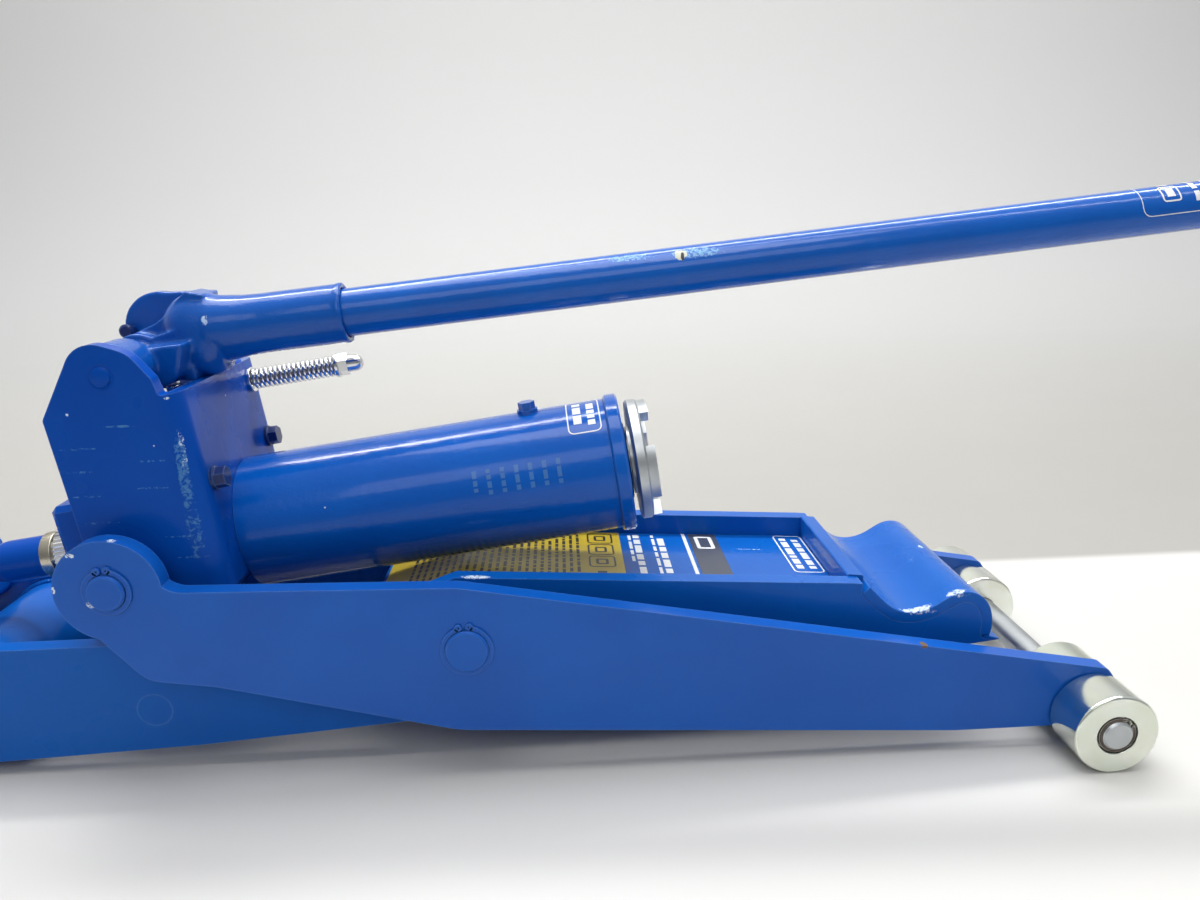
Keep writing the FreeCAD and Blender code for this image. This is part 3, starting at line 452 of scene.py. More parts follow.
@dataclass(frozen=True)
class Enamel(Finish):
    """Glossy sprayed enamel with orange peel, rubbed edges, scratches, chips and a painted highlight along
    every edge.
    """

    colour: Colour = (0.003, 0.098, 0.46)
    second: Colour = (0.004, 0.086, 0.42)
    # rubbed: colour of scratches, and of the painted highlight laid along every edge
    rubbed: Colour = (0.20, 0.36, 0.66)
    chipped: Colour = (0.74, 0.79, 0.85)
    roughness: float = 0.27
    coat: float = 0.5
    lustre: float = 1.3
    peel: float = 0.018
    grain: float = 1000.0
    wear: float = 0.35
    scratch: float = 0.25
    scratch_scale: Colour = (18.0, 60.0, 420.0)
    scratch_tint: float = 0.55
    scratch_lean: float = 0.12
    specks: float = 0.05
    speck_tint: float = 0.7
    speck_spacing: float = 120.0
    # painted highlight: share of the rubbed colour laid on every edge, worn or not
    edge_highlight: float = 0.28
    blotch_scale: float = 16.0
    coat_roughness: float = 0.07
    damage_dulling: float = 0.3
    damage_depth: float = 0.03
    spots: tuple[WornSpot, ...] = ()

    def build(self, effects: EffectShelf) -> bpy.types.Material:
        """Make the enamel.

        Args:
            effects: the shared effect groups.

        Returns:
            The material.
        """
        material, bench, shader, place = self.open_material()
        tone = self.effect(bench, effects.blotch, Vector=place, Scale=self.blotch_scale).outputs["Value"]
        colour = bench.blend(tone, self.colour, self.second)
        edge = self.effect(bench, effects.edges, Vector=place, Amount=self.wear)
        # Painted highlight: every edge lightened toward the rubbed colour, whether worn or not.
        edge_highlight_share = bench.math("MULTIPLY", edge.outputs["Edge"], self.edge_highlight)
        colour = bench.blend(edge_highlight_share, colour, self.rubbed)
        marks = self.effect(bench, effects.scratches, Density=self.scratch,
                            Vector=bench.stretch(place, (0.0, self.scratch_lean, 0.0),
                                                 self.scratch_scale)).outputs["Mask"]
        colour = bench.blend(bench.math("MULTIPLY", marks, self.scratch_tint), colour, self.rubbed)
        dust = self.effect(bench, effects.specks, Vector=place, Spacing=self.speck_spacing, Size=0.07,
                           Share=self.specks).outputs["Mask"]
        colour = bench.blend(bench.math("MULTIPLY", dust, self.speck_tint), colour, self.chipped)
        chips = bench.math("MULTIPLY", edge.outputs["Mask"], self.wear, clamp=True)
        colour = bench.blend(chips, colour, self.chipped)
        damage = bench.math("ADD", chips, bench.math("MULTIPLY", marks, 0.4), clamp=True)
        for spot in self.spots:
            mask = self.effect(bench, effects.spot, Vector=place, Centre=tuple(spot.centre),
                               Radii=spot.radii, Amount=spot.amount,
                               Break_Up=spot.break_up).outputs["Mask"]
            colour = bench.blend(mask, colour, spot.colour)
            damage = bench.math("MAXIMUM", damage, mask)
        bench.feed(shader.inputs["Base Color"], colour)
        dull = bench.math("MULTIPLY", damage, self.damage_dulling)
        rough = bench.math("ADD", bench.math("MULTIPLY", tone, 0.06), dull)
        bench.feed(shader.inputs["Roughness"], bench.math("ADD", rough, self.roughness))
        gloss = bench.add("ShaderNodeMath", {0: damage, 1: -self.coat, 2: self.coat},
                          operation="MULTIPLY_ADD")
        bench.feed(shader.inputs["Coat Weight"], gloss.outputs[0])
        shader.inputs["Coat Roughness"].default_value = self.coat_roughness
        shader.inputs["Coat IOR"].default_value = self.lustre
        shader.inputs["IOR"].default_value = self.lustre
        skin = self.effect(bench, effects.peel, Vector=place, Grain=self.grain, Depth=self.peel)
        dent = bench.math("MULTIPLY", damage, self.damage_depth)
        self.bump(bench, shader, bench.math("SUBTRACT", skin.outputs["Height"], dent))
        return material


@dataclass(frozen=True)
class PlatedSteel(Finish):
    """Zinc or chrome plated steel with lathe marks, stains, a faint tint of its own and a painted highlight
    along its edges.
    """

    colour: Colour = (0.72, 0.74, 0.74)
    stain: Colour = (0.62, 0.62, 0.50)
    tint: Colour = (0.66, 0.72, 0.58)
    roughness: float = 0.24
    marks: float = 0.004
    pitch: float = 0.0007
    centre: Vector = field(default_factory=lambda: Vector((0.0, 0.0, 0.0)))
    stain_scale: float = 60.0
    tint_share: float = 0.5
    face_roughness: float = 0.0

    def build(self, effects: EffectShelf) -> bpy.types.Material:
        """Make the plated metal.

        Args:
            effects: the shared effect groups.

        Returns:
            The material.
        """
        material, bench, shader, place = self.open_material()
        turned = self.effect(bench, effects.turning, Vector=place, Centre=tuple(self.centre),
                             Pitch=self.pitch)
        tone = self.effect(bench, effects.blotch, Vector=place, Scale=self.stain_scale).outputs["Value"]
        slow = self.effect(bench, effects.blotch, Vector=place,
                           Scale=self.stain_scale * 0.3).outputs["Value"]
        colour = bench.blend(bench.math("MULTIPLY", tone, 0.5), self.colour, self.stain)
        colour = bench.blend(bench.math("MULTIPLY", slow, self.tint_share), colour, self.tint)
        # Painted highlight: every edge lightened toward a bright grey.
        edge = self.effect(bench, effects.edges, Vector=place, Amount=0.4)
        bright = bench.math("MULTIPLY", edge.outputs["Edge"], 0.5)
        colour = bench.blend(bright, colour, (0.86, 0.87, 0.86))
        bench.feed(shader.inputs["Base Color"], colour)
        shader.inputs["Metallic"].default_value = 1.0
        rough = bench.math("ADD", bench.math("MULTIPLY", tone, 0.14), self.roughness)
        normal = bench.add("ShaderNodeNewGeometry").outputs["Normal"]
        facing = bench.add("ShaderNodeSeparateXYZ", {0: normal})
        face = bench.remap(bench.math("ABSOLUTE", facing.outputs[1]), 0.75, 0.95)
        rough = bench.math("ADD", rough, bench.math("MULTIPLY", face, self.face_roughness))
        bench.feed(shader.inputs["Roughness"], rough)
        grain = self.effect(bench, effects.peel, Vector=place, Grain=1500.0, Depth=self.marks * 0.5)
        height = bench.math("ADD", bench.math("MULTIPLY", turned.outputs["Marks"], self.marks),
                            grain.outputs["Height"])
        self.bump(bench, shader, height)
        return material


@dataclass(frozen=True)
class Moulded(Finish):
    """Dull moulded plastic or burnt oil with a fine grain."""

    colour: Colour = (0.018, 0.018, 0.02)
    second: Colour = (0.05, 0.048, 0.045)
    roughness: float = 0.48
    grain: float = 0.006

    def build(self, effects: EffectShelf) -> bpy.types.Material:
        """Make the moulded skin.

        Args:
            effects: the shared effect groups.

        Returns:
            The material.
        """
        material, bench, shader, place = self.open_material()
        tone = self.effect(bench, effects.blotch, Vector=place, Scale=55.0).outputs["Value"]
        edge = self.effect(bench, effects.edges, Vector=place, Amount=0.5).outputs["Edge"]
        share = bench.math("ADD", bench.math("MULTIPLY", tone, 0.4), bench.math("MULTIPLY", edge, 0.5),
                           clamp=True)
        bench.feed(shader.inputs["Base Color"], bench.blend(share, self.colour, self.second))
        bench.feed(shader.inputs["Roughness"], bench.math("ADD", bench.math("MULTIPLY", tone, 0.12),
                                                          self.roughness))
        skin = self.effect(bench, effects.peel, Vector=place, Grain=1800.0, Depth=self.grain)
        self.bump(bench, shader, skin.outputs["Height"])
        return material


@dataclass(frozen=True)
class PrintedFilm(Finish):
    """Printed label film or ink, a little scuffed, with the paint's colour where it has rubbed off."""

    colour: Colour = (0.85, 0.85, 0.83)
    under: Colour = (0.02, 0.16, 0.52)
    roughness: float = 0.3
    rubbed: float = 0.12
    scuff_scale: Colour = (420.0, 30.0, 60.0)

    def build(self, effects: EffectShelf) -> bpy.types.Material:
        """Make the film.

        Args:
            effects: the shared effect groups.

        Returns:
            The material.
        """
        material, bench, shader, place = self.open_material()
        tone = self.effect(bench, effects.blotch, Vector=place, Scale=70.0).outputs["Value"]
        shade = tuple(channel * 0.88 for channel in self.colour)
        colour = bench.blend(tone, self.colour, shade)
        marks = self.effect(bench, effects.scratches, Density=0.35, Width=0.02,
                            Vector=bench.stretch(place, (0.0, 0.0, 0.7), self.scuff_scale)).outputs["Mask"]
        grit = bench.noise(place, 1400.0, 2.0, 0.7)
        lost = bench.remap(grit, 0.70 - self.rubbed, 0.76 - self.rubbed * 0.9)
        missing = bench.math("MULTIPLY", bench.math("MAXIMUM", marks, lost), min(1.0, self.rubbed * 4))
        bench.feed(shader.inputs["Base Color"], bench.blend(missing, colour, self.under))
        bench.feed(shader.inputs["Roughness"], bench.math("ADD", bench.math("MULTIPLY", missing, 0.2),
                                                          self.roughness))
        skin = self.effect(bench, effects.peel, Vector=place, Grain=700.0, Depth=0.006)
        self.bump(bench, shader, skin.outputs["Height"])
        return material


class FinishRoom:
    """Makes each finish once and gives out its material."""

    def __init__(self) -> None:
        """Start with the shared effects and no material yet."""
        self.effects = EffectShelf()
        self._made: dict[str, bpy.types.Material] = {}

    def material(self, finish: Finish) -> bpy.types.Material:
        """Material of a finish, made at its first use.

        Args:
            finish: the finish.

        Returns:
            Its material.
        """
        if finish.name not in self._made:
            self._made[finish.name] = finish.build(self.effects)
        return self._made[finish.name]


# ------------------------------------------------------------------ mesh work
class Shaping:
    """Modifiers that carry a machined look: clean normals and broken edges."""

    _group: bpy.types.NodeTree | None = None
    SHARP_ANGLE = math.radians(32.0)
    MERGE_DISTANCE = 2e-6
    FACE_WEIGHT = 60

    @classmethod
    def _clean_normals(cls) -> bpy.types.NodeTree:
        """Geometry group that welds loose triangles and marks the sharp edges.

        Returns:
            The group, made at the first call.
        """
        if cls._group is None:
            tree = bpy.data.node_groups.new("Clean Normals", "GeometryNodeTree")
            for way in ("INPUT", "OUTPUT"):
                tree.interface.new_socket(name="Geometry", in_out=way, socket_type="NodeSocketGeometry")
            bench = NodeBench(tree)
            given, made = bench.add("NodeGroupInput"), bench.add("NodeGroupOutput")
            merged = bench.add("GeometryNodeMergeByDistance",
                               {0: given.outputs[0], "Distance": cls.MERGE_DISTANCE})
            angle = bench.add("GeometryNodeInputMeshEdgeAngle").outputs[0]
            sharp = bench.add("FunctionNodeCompare", {0: angle, 1: cls.SHARP_ANGLE},
                              operation="GREATER_THAN")
            normals = bench.add("GeometryNodeSetMeshNormal", None, mode="SHARPNESS")
            bench.feed(normals.inputs["Mesh"], merged.outputs[0])
            bench.feed(normals.inputs["Remove Custom"], True)
            bench.feed(normals.inputs["Edge Sharpness"], sharp.outputs[0])
            bench.feed(normals.inputs["Face Sharpness"], False)
            bench.feed(made.inputs[0], normals.outputs[0])
            cls._group = tree
        return cls._group

    @classmethod
    def break_edges(cls, piece: bpy.types.Object, width: float, segments: int = 2) -> None:
        """Round every sharp edge of a piece.

        Args:
            piece: a frame node or a new piece.
            width: how far the rounding reaches from the edge.
            segments: facets across the rounding.
        """
        clean = piece.modifiers.new("clean_normals", "NODES")
        clean.node_group = cls._clean_normals()
        if width <= 0:
            return
        rounding = piece.modifiers.new("broken_edges", "BEVEL")
        rounding.width = width
        rounding.segments = segments
        rounding.limit_method = "ANGLE"
        rounding.angle_limit = cls.SHARP_ANGLE
        rounding.miter_outer = "MITER_ARC"
        flat = piece.modifiers.new("flat_faces", "WEIGHTED_NORMAL")
        flat.keep_sharp = False
        flat.weight = cls.FACE_WEIGHT


class MeshWork:
    """Builds pieces out of bmesh geometry in the frame's own axes."""

    BEAD_STEP = 0.0005       # between two rings of a weld bead
    BEAD_RIPPLE = 0.09       # height of its ripples, as a share of its radius
    BEAD_WAVE = 4.0          # rings to one ripple
    BEAD_UNEVEN = 0.05       # unevenness, as a share of its radius
    BEAD_FACETS = 10

    @staticmethod
    def finish_piece(name: str, bm: bmesh.types.BMesh, body: str, material: bpy.types.Material,
                     slot: str = "", recalculate: bool = True) -> bpy.types.Object:
        """Turn a bmesh into a piece that rides on a body.

        Args:
            name: the piece's name.
            bm: its geometry, which is used up.
            body: the frame body that carries it.
            material: its finish.
            slot: the record's material slot, empty for print that has none; not used.
            recalculate: whether its faces are turned outwards first.

        Returns:
            The new piece.
        """
        if recalculate:
            bmesh.ops.recalc_face_normals(bm, faces=bm.faces)
        mesh = bpy.data.meshes.new(name)
        bm.to_mesh(mesh)
        bm.free()
        mesh.shade_smooth()
        mesh.materials.append(material)
        piece = bpy.data.objects.new(name, mesh)
        bpy.context.scene.collection.objects.link(piece)
        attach(piece, body)
        LOG.info("%s rides on %s", name, body)
        return piece

    @staticmethod
    def axes(direction: Vector) -> tuple[Vector, Vector, Vector]:
        """Three square directions, the first one along the given direction.

        Args:
            direction: the first direction, of any length.

        Returns:
            The three directions.
        """
        first = direction.normalized()
        helper = Vector((0, 0, 1)) if abs(first.z) < 0.9 else Vector((1, 0, 0))
        second = helper.cross(first).normalized()
        return first, second, first.cross(second)

    @classmethod
    def _rings(cls, bm: bmesh.types.BMesh, origin: Vector, direction: Vector,
               profile: Sequence[tuple[float, float]], segments: int) -> list[list[bmesh.types.BMVert]]:
        """Rings of vertices round an axis, one for each point of a profile.

        Args:
            bm: the geometry that it is added to.
            origin: where distances along the axis start.
            direction: the axis's direction.
            profile: pairs of distance along the axis and radius.
            segments: vertices in each ring.

        Returns:
            The rings, in the profile's order.
        """
        first, second, third = cls.axes(direction)
        rings = []
        for along, radius in profile:
            ring = []
            for i in range(segments):
                turn = math.tau * i / segments
                spoke = second * math.cos(turn) + third * math.sin(turn)
                ring.append(bm.verts.new(origin + first * along + spoke * radius))
            rings.append(ring)
        return rings

    @staticmethod
    def _skin(bm: bmesh.types.BMesh, pairs: Sequence[tuple[list, list]]) -> None:
        """Faces between neighbouring rings of equal length.

        Args:
            bm: the geometry that it is added to.
            pairs: the rings to join, two at a time.
        """
        for a, b in pairs:
            for i in range(len(a)):
                k = (i + 1) % len(a)
                bm.faces.new((a[i], a[k], b[k], b[i]))

    @classmethod
    def revolve(cls, bm: bmesh.types.BMesh, origin: Vector, direction: Vector,
                profile: Sequence[tuple[float, float]], segments: int = 64) -> None:
        """Turn a closed profile of (distance along, radius) round an axis."""
        rings = cls._rings(bm, origin, direction, profile, segments)
        cls._skin(bm, list(zip(rings, rings[1:] + rings[:1])))

    @classmethod
    def solid_turning(cls, bm: bmesh.types.BMesh, origin: Vector, direction: Vector,
                      profile: Sequence[tuple[float, float]], segments: int = 64) -> None:
        """Turn an open profile round an axis and close both ends with a fan.

        Args:
            bm: the geometry that it is added to.
            origin: where distances along the axis start.
            direction: the axis's direction.
            profile: pairs of distance along the axis and radius.
            segments: facets round the axis.
        """
        rings = cls._rings(bm, origin, direction, profile, segments)
        cls._skin(bm, list(zip(rings, rings[1:])))
        first = cls.axes(direction)[0]
        for ring, along in ((rings[0], profile[0][0]), (rings[-1], profile[-1][0])):
            middle = bm.verts.new(origin + first * along)
            for i in range(segments):
                bm.faces.new((ring[i], ring[(i + 1) % segments], middle))

    @staticmethod
    def prism(bm: bmesh.types.BMesh, outline: Sequence[tuple[float, float]], y_low: float,
              y_high: float) -> None:
        """Upright slab with a side view outline of (x, z) points.

        Args:
            bm: the geometry that it is added to.
            outline: points of the side view, as (x, z).
            y_low: Y of the near face.
            y_high: Y of the far face.
        """
        near = [bm.verts.new((x, y_low, z)) for x, z in outline]
        far = [bm.verts.new((x, y_high, z)) for x, z in outline]
        bm.faces.new(near)
        bm.faces.new(list(reversed(far)))
        for i in range(len(outline)):
            k = (i + 1) % len(outline)
            bm.faces.new((near[i], near[k], far[k], far[i]))

    @classmethod
    def tube(cls, bm: bmesh.types.BMesh, path: Sequence[Vector], radii: Sequence[float],
             segments: int = 10, closed: bool = False) -> None:
        """Round bar along a path, with its own radius at each point.

        Args:
            bm: the geometry that it is added to.
            path: points along its middle.
            radii: its radius at each point.
            segments: facets round the bar.
            closed: whether its end joins its start.
        """
        count = len(path)
        rings = []
        side = None
        for i, point in enumerate(path):
            before = path[i - 1] if (closed or i > 0) else point
            after = path[(i + 1) % count] if (closed or i < count - 1) else point
            tangent = (after - before).normalized()
            if side is None:
                side = cls.axes(tangent)[1]
            side = (side - tangent * side.dot(tangent)).normalized()
            other = tangent.cross(side)
            ring = []
            for k in range(segments):
                turn = math.tau * k / segments
                spoke = side * math.cos(turn) + other * math.sin(turn)
                ring.append(bm.verts.new(point + spoke * radii[i]))
            rings.append(ring)
        pairs = list(zip(rings, rings[1:]))
        if closed:
            pairs.append((rings[-1], rings[0]))
        cls._skin(bm, pairs)
        if not closed:
            bm.faces.new(list(reversed(rings[0])))
            bm.faces.new(rings[-1])

    @classmethod
    def weld_bead(cls, bm: bmesh.types.BMesh, path: Sequence[Vector], radius: float, seed: int,
                  closed: bool = False) -> None:
        """Weld bead along a path: a bar with regular ripples and a little unevenness.

        Args:
            bm: the geometry that it is added to.
            path: points along its middle.
            radius: its mean radius.
            seed: start of the random draws.
            closed: whether its end joins its start.
        """
        draw = random.Random(seed)
        fine = cls.even_path(path, cls.BEAD_STEP, closed)
        radii = []
        for i in range(len(fine)):
            ripple = cls.BEAD_RIPPLE * math.sin(math.tau * i / cls.BEAD_WAVE)
            radii.append(radius * (1.0 + ripple + draw.uniform(-cls.BEAD_UNEVEN, cls.BEAD_UNEVEN)))
        cls.tube(bm, fine, radii, cls.BEAD_FACETS, closed)

    @staticmethod
    def even_path(path: Sequence[Vector], step: float, closed: bool) -> list[Vector]:
        """Points along a path at about even steps.

        Args:
            path: points along its middle.
            step: the distance aimed for between points.
            closed: whether its end joins its start.

        Returns:
            The points.
        """
        points = list(path) + ([path[0]] if closed else [])
        fine = []
        for a, b in zip(points, points[1:]):
            count = max(1, round((b - a).length / step))
            fine.extend(a.lerp(b, i / count) for i in range(count))
        if not closed:
            fine.append(points[-1])
        return fine

    @staticmethod
    def hull(bm: bmesh.types.BMesh, points: Sequence[Vector]) -> None:
        """Closed skin stretched over points, as its own island.

        Args:
            bm: the geometry that it is added to.
            points: the points to cover.
        """
        verts = [bm.verts.new(point) for point in points]
        made = bmesh.ops.convex_hull(bm, input=verts)
        loose = [item for item in made["geom_interior"] if isinstance(item, bmesh.types.BMVert)]
        bmesh.ops.delete(bm, geom=loose, context="VERTS")

    @staticmethod
    def ball_points(centre: Vector, radii: Colour, steps: int = 20) -> list[Vector]:
        """Points on an ellipsoid.

        Args:
            centre: the ellipsoid's centre.
            radii: its radii along X, Y and Z.
            steps: rows of points from pole to pole.

        Returns:
            The points.
        """
        points = []
        for i in range(1, steps):
            rise = math.pi * i / steps - math.pi / 2
            for k in range(steps * 2):
                turn = math.pi * k / steps
                flat = math.cos(rise)
                points.append(centre + Vector((radii[0] * flat * math.cos(turn),
                                               radii[1] * flat * math.sin(turn),
                                               radii[2] * math.sin(rise))))
        return points

    @classmethod
    def fluted(cls, bm: bmesh.types.BMesh, origin: Vector, direction: Vector, length: float,
               outer: float, depth: float, flutes: int) -> None:
        """Round bar with straight grooves along its side.

        Args:
            bm: the geometry that it is added to.
            origin: where distances along the axis start.
            direction: the axis's direction.
            length: its length.
            outer: its radius over the ribs.
            depth: how deep the grooves are.
            flutes: number of grooves.
        """
        first, second, third = cls.axes(direction)
        ends = []
        for along in (0.0, length):
            ring = []
            for i in range(flutes * 4):
                radius = outer - (depth if i % 4 in (2, 3) else 0.0)
                turn = math.tau * i / (flutes * 4)
                spoke = second * math.cos(turn) + third * math.sin(turn)
                ring.append(bm.verts.new(origin + first * along + spoke * radius))
            ends.append(ring)
        cls._skin(bm, [(ends[0], ends[1])])
        bm.faces.new(list(reversed(ends[0])))
        bm.faces.new(ends[1])


class PrintSurface:
    """A painted surface that carries print: turns label places (u, v) into points on it."""

    def point(self, u: float, v: float, lift: float) -> Vector:
        """Point of the surface, lifted off it."""
        raise NotImplementedError


@dataclass
class TopSurface(PrintSurface):
    """The upper skin of a node seen from above: u is X and v is Y."""

    node: str
    ceiling: float = 1.0

    def __post_init__(self) -> None:
        """Prepare the node's faces for casting rays."""
        mesh = frame["nodes"][self.node].data
        corners_of = [tuple(face.vertices) for face in mesh.polygons]
        self.tree = BVHTree.FromPolygons([vert.co for vert in mesh.vertices], corners_of)

    def point(self, u: float, v: float, lift: float) -> Vector:
        """Point on the skin below (u, v), lifted upwards."""
        hit = self.tree.ray_cast(Vector((u, v, self.ceiling)), Vector((0, 0, -1)))
        return hit[0] + Vector((0, 0, lift))


@dataclass
class BarrelSurface(PrintSurface):
    """A round barrel: u runs along it, v runs round it from the top towards the near side."""

    origin: Vector
    along: Vector
    radius: float

    def point(self, u: float, v: float, lift: float) -> Vector:
        """Point on the barrel, lifted outwards.

        Args:
            u: distance along the barrel.
            v: distance round it from the top.
            lift: how far off the barrel the point is.

        Returns:
            The point.
        """
        upward = Vector((-self.along.z, 0, self.along.x))
        turn = v / self.radius
        spoke = upward * math.cos(turn) + Vector((0, -1, 0)) * math.sin(turn)
        return self.origin + self.along * u + spoke * (self.radius + lift)


@dataclass
class PrintWork:
    """Lays film, frames and rows of plain bars on a surface."""

    surface: PrintSurface
    step: float = 0.004

    def patch(self, bm: bmesh.types.BMesh, u: tuple[float, float], v: tuple[float, float],
              lift: float) -> None:
        """Rectangle between two places, cut fine enough to follow the surface.

        Args:
            bm: the geometry that it is added to.
            u: its two limits along the surface.
            v: its two limits across the surface.
            lift: how far it stands off the surface.
        """
        across = max(1, math.ceil(abs(u[1] - u[0]) / self.step))
        down = max(1, math.ceil(abs(v[1] - v[0]) / self.step))
        grid = []
        for i in range(across + 1):
            here = u[0] + (u[1] - u[0]) * i / across
            grid.append([bm.verts.new(self.surface.point(here, v[0] + (v[1] - v[0]) * k / down, lift))
                         for k in range(down + 1)])
        for i in range(across):
            for k in range(down):
                bm.faces.new((grid[i][k], grid[i + 1][k], grid[i + 1][k + 1], grid[i][k + 1]))

    def outline(self, bm: bmesh.types.BMesh, u: tuple[float, float], v: tuple[float, float], line: float,
                lift: float) -> None:
        """Frame with rounded corners.

        Args:
            bm: the geometry that it is added to.
            u: its two limits along the surface.
            v: its two limits across the surface.
            line: width of the frame's line.
            lift: how far it stands off the surface.
        """
        corner = min(abs(u[1] - u[0]), abs(v[1] - v[0])) * 0.18
        loops = []
        for inset in (0.0, line):
            loop = []
            for cu, cv, first in ((u[1], v[1], 0), (u[0], v[1], 1), (u[0], v[0], 2), (u[1], v[0], 3)):
                mid_u = cu + (corner if cu == u[0] else -corner)
                mid_v = cv + (corner if cv == v[0] else -corner)
                for i in range(5):
                    turn = math.pi / 2 * (first + i / 4)
                    reach = corner - inset
                    loop.append((mid_u + reach * math.cos(turn), mid_v + reach * math.sin(turn)))
            loops.append(loop)
        fine = []
        for outer, inner, outer_next, inner_next in zip(loops[0], loops[1], loops[0][1:] + loops[0][:1],
                                                        loops[1][1:] + loops[1][:1]):
            parts = max(1, math.ceil(math.dist(outer, outer_next) / self.step))
            for i in range(parts):
                share = i / parts
                fine.append([tuple(a + (b - a) * share for a, b in zip(start, stop))
                             for start, stop in ((outer, outer_next), (inner, inner_next))])
        rails = [[bm.verts.new(self.surface.point(pair[k][0], pair[k][1], lift)) for pair in fine]
                 for k in (0, 1)]
        for i in range(len(fine)):
            k = (i + 1) % len(fine)
            bm.faces.new((rails[0][i], rails[0][k], rails[1][k], rails[1][i]))

    def row(self, bm: bmesh.types.BMesh, u: tuple[float, float], v: tuple[float, float], lift: float,
            seed: int, dash: float = 0.006) -> None:
        """Row of plain bars of uneven length along v, standing in for a line of print.

        Args:
            bm: the geometry that it is added to.
            u: its two limits along the surface.
            v: its two limits across the surface.
            lift: how far it stands off the surface.
            seed: start of the random draws.
            dash: mean length of a bar.
        """
        draw = random.Random(seed)
        low, high = min(v), max(v)
        here = low
        while here < high - dash * 0.4:
            length = min(dash * draw.uniform(0.5, 1.5), high - here)
            self.patch(bm, u, (here, here + length), lift)
            here += length + dash * 0.28


